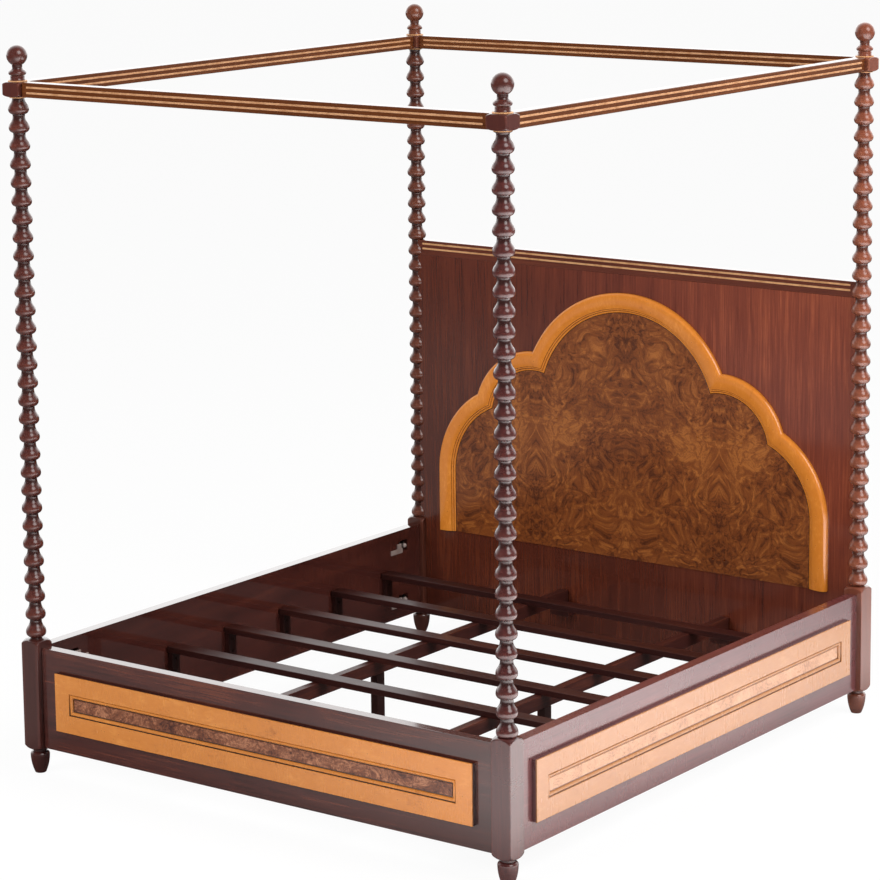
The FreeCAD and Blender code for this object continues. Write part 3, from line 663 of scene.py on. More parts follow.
def build_wear_and_shade_group() -> None:
    """Wear and shade by relief: polish rubbed thin on proud edges in patches, and darkening where the relief
    falls below 0: in hollows, and as painted shade on some posts' plain blocks and feet.
    """
    made = group_of(WEAR_AND_SHADE_GROUP, {"Vector": "Vector", "Color": "Color", "Worn": "Color", "Deep": "Color",
                                 "Rub": "Float", "Darkening": "Float"}, {"Color": "Color"})
    if made is None:
        return
    graph, entry, leave = made
    relief = graph.add("Attribute", attribute_type="GEOMETRY", attribute_name=RELIEF).outputs["Fac"]
    patchy = graph.spread(graph.noise(entry["Vector"], scale=38.0, detail=3.0, rough=0.65), 0.36, 0.62)
    proud = graph.math("MULTIPLY", graph.spread(relief, 0.35, 1.0), patchy)
    rubbed = graph.math("MULTIPLY", proud, entry["Rub"])
    hollow = graph.math("MULTIPLY", graph.spread(relief, -0.2, -0.9), entry["Darkening"])
    waxed = graph.mix(hollow, entry["Color"], entry["Deep"])
    graph.feed(leave["Color"], graph.mix(rubbed, waxed, entry["Worn"]))


def shader_of(graph: Graph, inputs: dict[str, Any]) -> None:
    """End a material with a surface shader and its values.

    Args:
        graph: the material's graph.
        inputs: values or outputs for the shader's sockets, by name.
    """
    shader = graph.add("BsdfPrincipled", inputs)
    out = graph.add("OutputMaterial")
    graph.tree.links.new(shader.outputs[0], out.inputs["Surface"])


def bump_of(graph: Graph, height: Any, strength: float, distance: float) -> bpy.types.NodeSocket:
    """The normal of a height at a strength, over a real distance."""
    sockets = {"Height": height, "Strength": strength, "Distance": distance}
    return graph.add("Bump", sockets).outputs["Normal"]


def polish_of(graph: Graph, vector: Any, roughness: float, drift: float) -> bpy.types.NodeOutputs:
    """Hand polish of a roughness that drifts by a share."""
    return place_group(graph, POLISH_GROUP, {"Vector": vector, "Roughness": roughness, "Drift": drift})


def wear_and_shade_of(graph: Graph, vector: Any, colour: Any, worn: Colour, deep: Colour, rub: float,
            darkening: float) -> bpy.types.NodeSocket:
    """A colour with its proud edges rubbed, its hollows darkened, and painted shade on some posts' plain
    blocks and feet.

    Args:
        graph: the material's graph.
        vector: where the rubbed patches are drawn.
        colour: the colour's output.
        worn: colour of rubbed edges.
        deep: colour of the darkening.
        rub: how much of the edges is rubbed.
        darkening: how much is darkened where the relief is below 0.

    Returns:
        The output of the worn colour.
    """
    sockets = {"Vector": vector, "Color": colour, "Worn": worn, "Deep": deep, "Rub": rub, "Darkening": darkening}
    return place_group(graph, WEAR_AND_SHADE_GROUP, sockets)["Color"]


class Finish:
    """A finish that makes one material and keeps it."""

    name: str
    slot: str

    def material(self) -> bpy.types.Material:
        """The finish's material, made the first time it is asked for.

        Returns:
            The material.
        """
        found = bpy.data.materials.get(self.name)
        if found is None:
            found = bpy.data.materials.new(self.name)
            found.use_nodes = True
            self.draw(Graph(found.node_tree))
        return found

    def draw(self, graph: Graph) -> None:
        """Fill the material's empty node tree."""
        raise NotImplementedError


class Wood(Finish):
    """A finish whose figure is drawn in three tones."""

    dark: Colour
    middle: Colour
    light: Colour

    def tones(self, vector: Any) -> dict[str, Any]:
        """Values for a figure's sockets: where it is drawn, and the three tones."""
        return {"Vector": vector, "Dark": self.dark, "Middle": self.middle, "Light": self.light}


QUARTER_TURN = math.pi / 2
TURNS = {
    Axis.ACROSS: (0.0, -QUARTER_TURN, 0.0),
    Axis.ALONG: (QUARTER_TURN, 0.0, 0.0),
    Axis.UP: (0.0, 0.0, 0.0),
}


def grain_space(graph: Graph, run: Axis) -> bpy.types.NodeSocket:
    """Object coordinates turned so that the third axis follows the grain."""
    place = graph.add("TexCoord").outputs["Object"]
    return graph.add("Mapping", {"Vector": place, "Rotation": TURNS[run]}).outputs["Vector"]


def painted_shading_colour(graph: Graph, colour: Any, painted_shading: tuple[float, float]) -> Any:
    """Painted light and shade: a colour multiplied by a share that changes from low on the left to high on
    the right.

    Args:
        graph: the material's graph.
        colour: the colour's output.
        painted_shading: the share at both ends.

    Returns:
        The output of the shaded colour, or the colour itself where the share is 1 all over.
    """
    if painted_shading == NO_PAINTED_SHADING:
        return colour
    reach = graph.dot(graph.add("TexCoord").outputs["Object"], PAINTED_SHADING_WAY)
    return graph.mix(1.0, colour, graph.spread(reach, *PAINTED_SHADING_REACH, *painted_shading), "MULTIPLY")


@dataclass(frozen=True)
class Mahogany(Wood):
    """Dark red-brown mahogany under thick glossy polish.

    Attributes:
        name: the material's name.
        run: the way the grain runs.
        dark: colour of the dark streaks and pores.
        middle: the ground colour.
        light: colour of the light ribbons.
        ribbon: ribbons in a metre.
        contrast: how strongly the figure shows.
        roughness: roughness of the polish.
        polish: weight of the clear coat.
        shine: reflection level under the coat.
        haze: roughness of the coat.
        ripple: strength of the uneven surface.
        painted_shading: share of the colour low on the left and high on the right, as painted light and
            shade.
    """

    name: str
    run: Axis
    dark: Colour = (0.018, 0.005, 0.004)
    middle: Colour = (0.055, 0.014, 0.009)
    light: Colour = (0.115, 0.029, 0.015)
    ribbon: float = 26.0
    contrast: float = 1.5
    roughness: float = 0.2
    polish: float = 0.85
    shine: float = 0.6
    haze: float = 0.07
    ripple: float = 0.12
    painted_shading: tuple[float, float] = NO_PAINTED_SHADING
    slot = "mahogany"

    def draw(self, graph: Graph) -> None:
        """Grain, wear on edges and glossy polish.

        Args:
            graph: the material's empty graph.
        """
        space = grain_space(graph, self.run)
        figure = {"Ribbon": self.ribbon, "Contrast": self.contrast}
        grain = place_group(graph, GRAIN_GROUP, self.tones(space) | figure)
        worn = wear_and_shade_of(graph, space, grain["Color"], self.light, self.dark, rub=0.45, darkening=0.75)
        polish = polish_of(graph, space, self.roughness, drift=0.16)
        height = graph.math("MULTIPLY_ADD", grain["Height"], 0.12, polish["Height"])
        # Painted light and shade where set: darker low on the left, paler high on the right
        colour = painted_shading_colour(graph, worn, self.painted_shading)
        shader_of(graph, {"Base Color": colour, "Roughness": polish["Roughness"],
                          "Specular IOR Level": self.shine, "Coat Weight": self.polish,
                          "Coat Roughness": self.haze, "Coat IOR": 1.55,
                          "Normal": bump_of(graph, height, self.ripple, distance=0.0006)})


@dataclass(frozen=True)
class BirdsEyeMaple(Wood):
    """Golden bird's-eye maple under clear polish.

    Attributes:
        name: the material's name.
        run: the way the grain runs.
        dark: colour of the eyes.
        middle: the ground colour.
        light: colour of the pale figure.
        deep: colour of the darkened hollows.
        roughness: roughness of the polish.
        painted_shading: share of the colour low on the left and high on the right, as painted light and
            shade.
    """

    name: str
    run: Axis
    dark: Colour = (0.270, 0.075, 0.010)
    middle: Colour = (0.590, 0.205, 0.032)
    light: Colour = (0.720, 0.290, 0.060)
    deep: Colour = (0.030, 0.009, 0.004)
    roughness: float = 0.27
    painted_shading: tuple[float, float] = NO_PAINTED_SHADING
    slot = "maple"

    def draw(self, graph: Graph) -> None:
        """Figure, darkened hollows and clear polish.

        Args:
            graph: the material's empty graph.
        """
        space = grain_space(graph, self.run)
        eyes = place_group(graph, EYES_GROUP, self.tones(space))
        worn = wear_and_shade_of(graph, space, eyes["Color"], self.light, self.deep, rub=0.5, darkening=0.92)
        polish = polish_of(graph, space, self.roughness, drift=0.14)
        height = graph.math("MULTIPLY_ADD", eyes["Height"], 0.2, polish["Height"])
        # Painted light and shade where set: darker low on the left, paler high on the right
        colour = painted_shading_colour(graph, worn, self.painted_shading)
        shader_of(graph, {"Base Color": colour, "Roughness": polish["Roughness"],
                          "Specular IOR Level": 0.6, "Coat Weight": 0.85, "Coat Roughness": 0.1,
                          "Coat IOR": 1.55,
                          "Normal": bump_of(graph, height, strength=0.12, distance=0.0006)})


@dataclass(frozen=True)
class BurlWalnut(Wood):
    """Book-matched burl walnut: every leaf mirrors its neighbour, from the bed's centre line outwards.

    Attributes:
        name: the material's name.
        size: how many times finer than full size the figure is.
        leaf: width of a leaf of veneer, or 0 for a figure without joints.
        dark: colour of veins and eyes.
        middle: the ground colour.
        light: colour of the pale swirls.
        roughness: roughness of the polish.
    """

    name: str
    size: float = 0.85
    leaf: float = 0.39
    dark: Colour = (0.060, 0.015, 0.005)
    middle: Colour = (0.166, 0.043, 0.009)
    light: Colour = (0.330, 0.106, 0.021)
    roughness: float = 0.3
    slot = "burl"

    def draw(self, graph: Graph) -> None:
        """Folded figure under clear polish.

        Args:
            graph: the material's empty graph.
        """
        place = graph.add("TexCoord").outputs["Object"]
        if self.leaf:
            split = graph.add("SeparateXYZ", {"Vector": place})
            place = graph.add("CombineXYZ", {"X": graph.math("PINGPONG", split.outputs["X"], self.leaf),
                                             "Y": split.outputs["Y"], "Z": split.outputs["Z"]}).outputs[0]
        burl = place_group(graph, BURL_GROUP, self.tones(place) | {"Size": self.size})
        polish = polish_of(graph, place, self.roughness, drift=0.18)
        height = graph.math("MULTIPLY_ADD", burl["Height"], 0.3, polish["Height"])
        shader_of(graph, {"Base Color": burl["Color"], "Roughness": polish["Roughness"],
                          "Specular IOR Level": 0.55, "Coat Weight": 0.35, "Coat Roughness": 0.16,
                          "Coat IOR": 1.5,
                          "Normal": bump_of(graph, height, strength=0.15, distance=0.0006)})


@dataclass(frozen=True)
class Metal(Finish):
    """Rubbed metal with a drift of tarnish.

    Attributes:
        name: the material's name.
        slot: the slot's name; not used.
        bright: colour where it is rubbed.
        dull: colour where it has tarnished.
        roughness: roughness of the rubbed metal.
        bare: share of bare metal under the lacquer.
    """

    name: str
    slot: str
    bright: Colour
    dull: Colour
    roughness: float
    bare: float = 1.0

    def draw(self, graph: Graph) -> None:
        """Tarnish in clouds and hollows, and fine rubbing marks.

        Args:
            graph: the material's empty graph.
        """
        place = graph.add("TexCoord").outputs["Object"]
        cloud = graph.noise(place, scale=24.0, detail=5.0, rough=0.65)
        colour = graph.mix(graph.spread(cloud, 0.4, 0.66), self.bright, self.dull)
        worn = wear_and_shade_of(graph, place, colour, self.bright, self.dull, rub=0.8, darkening=0.9)
        polish = polish_of(graph, place, self.roughness, drift=0.2)
        marks = graph.noise(place, scale=900.0, detail=2.0)
        shader_of(graph, {"Base Color": worn, "Metallic": self.bare, "Roughness": polish["Roughness"],
                          "Normal": bump_of(graph, marks, strength=0.06, distance=0.0003)})


@dataclass(frozen=True)
class Beech(Wood):
    """Pale beech of the hidden dowels, waxed only."""

    name: str = "beech"
    run: Axis = Axis.ACROSS
    dark: Colour = (0.34, 0.19, 0.095)
    middle: Colour = (0.50, 0.31, 0.165)
    light: Colour = (0.60, 0.40, 0.23)
    slot = "beech"

    def draw(self, graph: Graph) -> None:
        """Fine even grain with short flecks.

        Args:
            graph: the material's empty graph.
        """
        space = grain_space(graph, self.run)
        grain = place_group(graph, GRAIN_GROUP, self.tones(space) | {"Ribbon": 60.0, "Contrast": 1.1})
        polish = polish_of(graph, space, roughness=0.55, drift=0.1)
        shader_of(graph, {"Base Color": grain["Color"], "Roughness": polish["Roughness"],
                          "Normal": bump_of(graph, grain["Height"], strength=0.2, distance=0.0005)})


TURNED = Mahogany("mahogany_turned", Axis.UP, middle=(0.064, 0.015, 0.011), light=(0.135, 0.032, 0.019),
                  contrast=0.8, roughness=0.3, haze=0.12, ripple=0.03)
TURNED_DARK = replace(TURNED, name="mahogany_turned_dark", middle=(0.052, 0.012, 0.011),
                      light=(0.112, 0.026, 0.020), contrast=1.2, roughness=0.28, polish=0.95, haze=0.08)
TURNED_BROWN = replace(TURNED, name="mahogany_turned_brown", middle=(0.086, 0.023, 0.013),
                       light=(0.165, 0.048, 0.025))
# A paler, more golden copy of the turned mahogany for the head-right post, its block and finial: painted
# light, as that post stands better lit
TURNED_LIT = replace(TURNED, name="mahogany_turned_lit", dark=(0.040, 0.010, 0.006),
                      middle=(0.160, 0.043, 0.022), light=(0.290, 0.092, 0.045))
TOP_BROWN = replace(TURNED, name="mahogany_top_brown", dark=(0.030, 0.008, 0.005),
                    middle=(0.118, 0.031, 0.014), light=(0.215, 0.065, 0.028), contrast=1.0)
RAIL_ACROSS = Mahogany("mahogany_rail_across", Axis.ACROSS, middle=(0.052, 0.013, 0.010), ribbon=30.0,
                       contrast=1.9)
# A darker copy of the rail mahogany for the left rail and its backing: painted shade on its inner face,
# inside the bed
RAIL_LEFT_SHADED = Mahogany("mahogany_rail_left_shaded", Axis.ALONG, middle=(0.048, 0.012, 0.009),
                      light=(0.105, 0.027, 0.016), ribbon=18.0, contrast=1.2, roughness=0.1, polish=1.0,
                      shine=0.9, haze=0.02, ripple=0.04)
# A paler, plum copy of the rail mahogany for the right rail and its backing: painted light on its lit outer
# face, and a painted sheen of its glare
RAIL_RIGHT_LIT = Mahogany("mahogany_rail_right_lit", Axis.ALONG, dark=(0.038, 0.011, 0.012),
                      middle=(0.100, 0.025, 0.027), light=(0.180, 0.050, 0.049), ribbon=26.0, contrast=1.3,
                      roughness=0.28, haze=0.16)
TESTER_ACROSS = Mahogany("mahogany_tester_across", Axis.ACROSS, dark=(0.040, 0.011, 0.003),
                         middle=(0.090, 0.024, 0.006), light=(0.150, 0.044, 0.012), contrast=1.2,
                         polish=0.55)
TESTER_ALONG = replace(TESTER_ACROSS, name="mahogany_tester_along", run=Axis.ALONG)
SLAT_WOOD = Mahogany("mahogany_slat", Axis.ACROSS, dark=(0.010, 0.003, 0.003), middle=(0.025, 0.006, 0.005),
                     light=(0.062, 0.015, 0.009), ribbon=30.0, contrast=1.3, roughness=0.45, polish=0.22,
                     shine=0.25, haze=0.18)
BEARER_WOOD = Mahogany("mahogany_bearer", Axis.ALONG, middle=(0.036, 0.009, 0.007), ribbon=30.0,
                       contrast=1.3, roughness=0.4, polish=0.08, shine=0.3)
UPRIGHT_WOOD = replace(BEARER_WOOD, name="mahogany_upright", run=Axis.UP, dark=(0.010, 0.003, 0.002),
                       middle=(0.023, 0.006, 0.005), light=(0.060, 0.015, 0.010), contrast=1.2)
# The ribbon panel carries painted light and shade: darker low on the left, paler high on the right
HEAD_WOOD = Mahogany("mahogany_ribbon_panel", Axis.UP, dark=(0.046, 0.010, 0.007),
                     middle=(0.124, 0.026, 0.013), light=(0.250, 0.060, 0.024), ribbon=30.0, contrast=1.35,
                     roughness=0.22, painted_shading=(0.57, 1.27))
HEAD_RAIL_WOOD = Mahogany("mahogany_head_rail", Axis.ACROSS, dark=(0.045, 0.010, 0.006),
                          middle=(0.100, 0.023, 0.012), light=(0.185, 0.047, 0.021), ribbon=24.0,
                          contrast=1.2)
# The foot panel's maple carries painted light and shade: darker on the left, paler on the right
PANEL_MAPLE_ACROSS = BirdsEyeMaple("maple_panel_across", Axis.ACROSS, middle=(0.550, 0.186, 0.027),
                                   light=(0.675, 0.265, 0.050), painted_shading=(0.86, 1.22))
PANEL_MAPLE_LEFT = BirdsEyeMaple("maple_panel_left", Axis.ALONG)
PANEL_MAPLE_ALONG = BirdsEyeMaple("maple_panel_along", Axis.ALONG, dark=(0.280, 0.095, 0.026),
                                  middle=(0.412, 0.166, 0.047), light=(0.500, 0.224, 0.078),
                                  deep=(0.170, 0.062, 0.020))
ARCH_MAPLE = BirdsEyeMaple("maple_arch", Axis.UP, dark=(0.260, 0.064, 0.008), middle=(0.570, 0.180, 0.020),
                           light=(0.700, 0.255, 0.038), roughness=0.22)
HEAD_BURL = BurlWalnut("burl_headboard")
STRIP_BURL = BurlWalnut("burl_strip", size=1.9, leaf=0.0, dark=(0.042, 0.012, 0.008),
                        middle=(0.150, 0.046, 0.019), light=(0.385, 0.160, 0.078))
SIDE_STRIP_BURL = BurlWalnut("burl_strip_pale", size=3.0, leaf=0.0, dark=(0.300, 0.130, 0.065),
                             middle=(0.540, 0.270, 0.145), light=(0.640, 0.360, 0.210))
TESTER_BRASS = Metal("brass_line_dull", "brass", bright=(0.64, 0.345, 0.18), dull=(0.47, 0.225, 0.105),
                     roughness=0.38, bare=0.35)
BRASS = Metal("brass_line", "brass", bright=(0.74, 0.40, 0.19), dull=(0.54, 0.26, 0.11), roughness=0.35,
              bare=0.4)
STEEL = Metal("steel_fixing", "steel", bright=(0.30, 0.28, 0.27), dull=(0.11, 0.09, 0.08), roughness=0.42)
SCREW = Metal("screw_blackened", "steel", bright=(0.060, 0.045, 0.040), dull=(0.025, 0.018, 0.016),
              roughness=0.5)
ZINC = Metal("zinc_plate", "steel", bright=(0.40, 0.32, 0.29), dull=(0.27, 0.21, 0.19), roughness=0.36,
             bare=0.3)
BEECH = Beech()
BLOCK_WOODS = {"foot_left": TURNED, "foot_right": TURNED, "head_left": TURNED_BROWN,
               "head_right": TURNED_LIT}
FINIAL_WOODS = BLOCK_WOODS | {"head_left": TOP_BROWN}
RAIL_WOODS = {Side.FOOT: RAIL_ACROSS, Side.LEFT: RAIL_LEFT_SHADED, Side.RIGHT: RAIL_RIGHT_LIT}
PANEL_MAPLES = {Side.FOOT: PANEL_MAPLE_ACROSS, Side.LEFT: PANEL_MAPLE_LEFT, Side.RIGHT: PANEL_MAPLE_ALONG}


@dataclass
class Post:
    """A turned post: tapered foot, square block with turned shoulders and a shaft of bobbins.

    Attributes:
        half: half the side of the block.
        tip: radius of the foot on the floor.
        ease: eased edge round the foot's underside.
        bulb: largest radius of the foot.
        bulb_level: height of that radius.
        neck: radius of the necks at both ends of the block.
        neck_level: height where the foot's neck starts.
        block_bottom: underside of the block.
        block_top: top of the block.
        shoulder: height of a turned shoulder.
        shoulder_round: radius of curve of the shoulders.
        lathe: radius past the block's corners.
        runout: height in which the lathe's radius runs out past the block's corners, beside a shoulder.
        bobbins: bobbins on the shaft.
        belly: largest radius of a bobbin.
        waist: radius of the neck between bobbins.
        fillet: straight neck under each bobbin.
        belly_level: height of the largest radius in a bobbin.
        cove: share of a bobbin's underside that is hollow.
        ogee: share of a bobbin's upper slope that is convex.
        lift: how far the bobbins of one shaft stand higher than the even spacing.
        darkening: relief of the plain block and foot, below 0 where they are darkened as painted shade.
        finish: the post's wood.
    """

    half: float = 0.035
    tip: float = 0.0185
    ease: float = 0.0015
    bulb: float = 0.0315
    bulb_level: float = 0.062
    neck: float = 0.022
    neck_level: float = 0.073
    block_bottom: float = 0.081
    block_top: float = 0.451
    shoulder: float = 0.017
    shoulder_round: float = 0.034
    lathe: float = 0.051
    runout: float = 0.004
    bobbins: int = 30
    belly: float = 0.0328
    waist: float = 0.0193
    fillet: float = 0.001
    belly_level: float = 0.0198
    cove: float = 0.22
    ogee: float = 0.48
    lift: float = 0.0
    darkening: float = 0.0
    finish: Finish = TURNED

    def foot_profile(self) -> np.ndarray:
        """Radius and height of the foot: a long swelling taper that tucks in under a short neck.

        Returns:
            Radius and height in rows.
        """
        taper_start = 0.002
        taper = upright_arc(self.bulb_level, self.bulb - self.tip)
        tuck = upright_arc(self.neck_level - self.bulb_level, self.bulb - self.neck)
        return np.concatenate([
            [[0.0, 0.0], [self.tip - self.ease, 0.0], [self.tip, self.ease]],
            arc((self.tip, taper_start), (self.bulb, self.bulb_level), taper, steps=14),
            arc((self.bulb, self.bulb_level), (self.neck, self.neck_level), tuck, steps=9),
            [[self.neck, self.neck_level], [self.neck, self.block_bottom]],
        ])

    def block_profile(self, bottom: float, top: float, shoulder: float) -> np.ndarray:
        """Lathe radius and height of a square block, from shoulder to shoulder.

        Args:
            bottom: underside of the block.
            top: top of the block.
            shoulder: height of each turned shoulder.

        Returns:
            Radius and height in rows.
        """
        wide = 2 * self.half
        start, stop = bottom + shoulder, top - shoulder
        low = arc((self.neck, bottom), (self.lathe, start), self.shoulder_round, steps=12)
        high = arc((self.lathe, stop), (self.neck, top), self.shoulder_round, steps=12)
        square = [[self.lathe, start], [wide, start + self.runout], [wide, stop - self.runout]]
        return np.concatenate([low, square, high])

    def shaft_profile(self, top: float) -> np.ndarray:
        """Radius and height of the shaft: hollowed undersides, full bellies and ogee shoulders.

        Args:
            top: top of the shaft.

        Returns:
            Radius and height in rows.
        """
        pitch = (top - self.block_top) / self.bobbins
        slope = self.belly - self.waist
        rise = pitch - self.belly_level
        drop = self.belly_level - self.fillet
        neck, belly = (self.waist, self.fillet), (self.belly, self.belly_level)
        low = (self.waist + slope * self.cove, self.fillet + drop * self.cove)
        mid = (self.belly - slope * self.ogee, self.belly_level + rise * self.ogee)
        full, flat = 1 - self.cove, 1 - self.ogee
        one = np.concatenate([
            [[self.waist, 0.0]],
            arc(neck, low, -upright_arc(drop * self.cove, slope * self.cove), steps=4),
            arc(low, belly, upright_arc(drop * full, slope * full), steps=7),
            arc(belly, mid, upright_arc(rise * self.ogee, slope * self.ogee), steps=7),
            arc(mid, (self.waist, pitch), -upright_arc(rise * flat, slope * flat), steps=8),
        ])
        number = np.arange(-1, self.bobbins + 1)[:, None, None]
        bottom = np.array([0.0, self.block_top + self.lift])
        shaft = (one[None] + number * np.array([0.0, pitch]) + bottom).reshape(-1, 2)
        inside = (shaft[:, 1] > self.block_top + MERGE_DISTANCE) & (shaft[:, 1] < top - MERGE_DISTANCE)
        return np.concatenate([shaft[inside], [[self.waist, top], [0.0, top]]])

    def relief(self, profile: np.ndarray) -> np.ndarray:
        """Relief of a profile: proud at a bobbin's belly, hollow at its neck, and even on block and foot at
        the post's darkening, painted shade where it is below 0.

        Args:
            profile: radius and height in rows.

        Returns:
            Relief for each row.
        """
        gain, proudest = 1.9, 0.9
        neck_reach, neck_relief = 1.1 * self.neck, -0.6
        share = (profile[:, 0] - self.waist) / (self.belly - self.waist)
        shaft = np.clip(gain * share - 1.0, -1.0, proudest)
        # Block and foot take the post's darkening, painted shade where it is below 0
        block = np.where(profile[:, 0] < neck_reach, neck_relief, self.darkening)
        return np.where(profile[:, 1] >= self.block_top, shaft, block)

    def build(self, corner: Corner) -> None:
        """Turn one post and set it at its corner.

        Args:
            corner: where it stands.
        """
        node = "post_" + corner.name
        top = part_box(node)[1].z
        block = self.block_profile(self.block_bottom, self.block_top, self.shoulder)
        profile = np.concatenate([self.foot_profile(), block, self.shaft_profile(top)])
        surface = square_turning(profile, self.half, corner, self.relief(profile))
        add_piece(node + "_turning", [surface], self.finish, [node], flats=False)


@dataclass
class PostTop:
    """What stands over a shaft: two brass collars, a square tester block and a ball finial.

    Attributes:
        lower_collar: radius of the collar under the block.
        upper_collar: radius of the collar over the block.
        shoulder: height of the block's turned shoulders.
        base: radius of the finial's base.
        base_height: height of the base.
        base_round: radius of curve of the base's hollow side.
        bead: how far the bead over the base stands out.
        bead_height: height of the bead.
        quirk: depth of the fine grooves between them.
        cove: radius of curve of the cove over the bead.
        neck: radius of the neck under the ball.
        cone_top: height of that neck.
        ball: radius of the ball.
    """

    lower_collar: float = 0.0285
    upper_collar: float = 0.031
    shoulder: float = 0.008
    base: float = 0.0245
    base_height: float = 0.017
    base_round: float = 0.02
    bead: float = 0.0036
    bead_height: float = 0.013
    quirk: float = 0.0014
    cove: float = 0.0115
    neck: float = 0.0163
    cone_top: float = 0.0445
    ball: float = 0.033

    def finial_profile(self, bottom: float, top: float) -> np.ndarray:
        """Radius and height of the finial: hollow base, bead, cove, neck and ball.

        Args:
            bottom: underside of the base.
            top: top of the ball.

        Returns:
            Radius and height in rows.
        """
        bead_top = self.base_height + self.bead_height
        bead_round = upright_arc(self.bead_height / 2, self.bead)
        middle = top - bottom - self.ball
        start = middle - math.sqrt(self.ball ** 2 - self.neck ** 2)
        quirk = self.quirk
        waist = self.base - quirk
        rows = np.concatenate([
            [[0.0, 0.0], [self.base, 0.0]],
            arc((self.base, quirk), (waist, self.base_height - quirk), -self.base_round, steps=6),
            [[waist - quirk, self.base_height - quirk], [waist - quirk, self.base_height]],
            arc((self.base, self.base_height), (self.base, bead_top), bead_round, steps=10),
            [[self.base, bead_top], [waist, bead_top]],
            arc((waist, bead_top + quirk), (self.neck, self.cone_top), -self.cove, steps=10),
            [[self.neck, self.cone_top]],
            arc((self.neck, start), (self.ball, middle), self.ball, steps=12),
            arc((self.ball, middle), (0.0, middle + self.ball), self.ball, steps=18),
            [[0.0, middle + self.ball]],
        ])
        return rows + np.array([0.0, bottom])

    def collar(self, corner: Corner, radius: float, low: float, high: float) -> Surface:
        """A brass collar: a flat ring with a half-round edge, closed above and below.

        Args:
            corner: where it stands.
            radius: its radius.
            low: height of its underside.
            high: height of its top.

        Returns:
            The collar's surface, proud at its edge.
        """
        half = (high - low) / 2
        flat = radius - half
        edge = arc((flat, low), (flat, high), half, steps=12)
        profile = np.concatenate([[[0.0, low]], edge, [[flat, high], [0.0, high]]])
        return turning(profile, corner, np.where(profile[:, 0] > flat, 1.0, 0.0))

    def build(self, post: Post) -> None:
        """Make the collars, blocks and finials of all four posts.

        Args:
            post: the post whose square block the tester blocks repeat.
        """
        neck_reach, neck_relief = 1.15 * self.neck, -0.7
        for kind, radius in (("lower_collars", self.lower_collar), ("upper_collars", self.upper_collar)):
            low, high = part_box(kind)
            rings = [self.collar(corner, radius, low.z, high.z) for corner in corners()]
            add_piece(kind + "_rings", rings, BRASS, [kind], flats=False)
        for corner in corners():
            node = "tester_block_" + corner.name
            low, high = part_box(node)
            profile = post.block_profile(low.z, high.z, self.shoulder)
            profile = np.concatenate([[[0.0, low.z]], profile, [[post.neck, high.z], [0.0, high.z]]])
            block = square_turning(profile, post.half, corner, np.zeros(len(profile)))
            add_piece(node + "_turning", [block], BLOCK_WOODS[corner.name], [node], flats=False)
            node = "finial_" + corner.name
            low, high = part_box(node)
            profile = self.finial_profile(low.z, high.z)
            under_ball = profile[:, 1] < high.z - self.ball
            hollow = np.where((profile[:, 0] < neck_reach) & under_ball, neck_relief, 0.0)
            ball = turning(profile, corner, hollow)
            add_piece(node + "_turning", [ball], FINIAL_WOODS[corner.name], [node], node, flats=False)


@dataclass
class Tester:
    """The four tester rails with two brass lines let into each face.

    Attributes:
        edge: radius of the rails' edges.
        line: width of a brass line.
        between: dark wood between two lines.
        proud: how far a line stands out.
        sunk: how deep a line lies in its groove.
        plain: plain wood between a line's end and the block.
    """

    edge: float = 0.0025
    line: float = 0.0062
    between: float = 0.0112
    proud: float = 0.0006
    sunk: float = 0.0025
    plain: float = 0.02

    def build(self) -> None:
        """Make the rails and all their lines."""
        lines = []
        runs = {"foot": Axis.ACROSS, "head": Axis.ACROSS, "left": Axis.ALONG, "right": Axis.ALONG}
        for name, run in runs.items():
            finish = TESTER_ACROSS if run is Axis.ACROSS else TESTER_ALONG
            node = "tester_rail_" + name
            low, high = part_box(node)
            add_piece(node + "_bar", [rounded_bar(low, high, self.edge, run)], finish, [node])
            lines += self.strips(low, high, run)
        add_piece("tester_line_strips", lines, TESTER_BRASS, ["tester_lines"])

    def strips(self, low: Vector, high: Vector, run: Axis) -> list[Surface]:
        """The four brass lines of one rail: two on each upright face.

        Args:
            low: the rail's lowest corner.
            high: the rail's highest corner.
            run: the way the rail runs.

        Returns:
            One thin rounded bar for each line.
        """
        face = 1 - run.value
        middle = (low.z + high.z) / 2
        found = []
        for outward in (-1, 1):
            surface = high[face] if outward > 0 else low[face]
            depth = sorted((surface - outward * self.sunk, surface + outward * self.proud))
            for level in (-1, 1):
                near = middle + level * self.between / 2
                heights = sorted((near, near + level * self.line))
                corner_low, corner_high = Vector(low), Vector(high)
                corner_low[face], corner_high[face] = depth
                corner_low.z, corner_high.z = heights
                corner_low[run.value] += self.plain
                corner_high[run.value] -= self.plain
                found.append(rounded_bar(corner_low, corner_high, self.proud, run, steps=2))
        return found


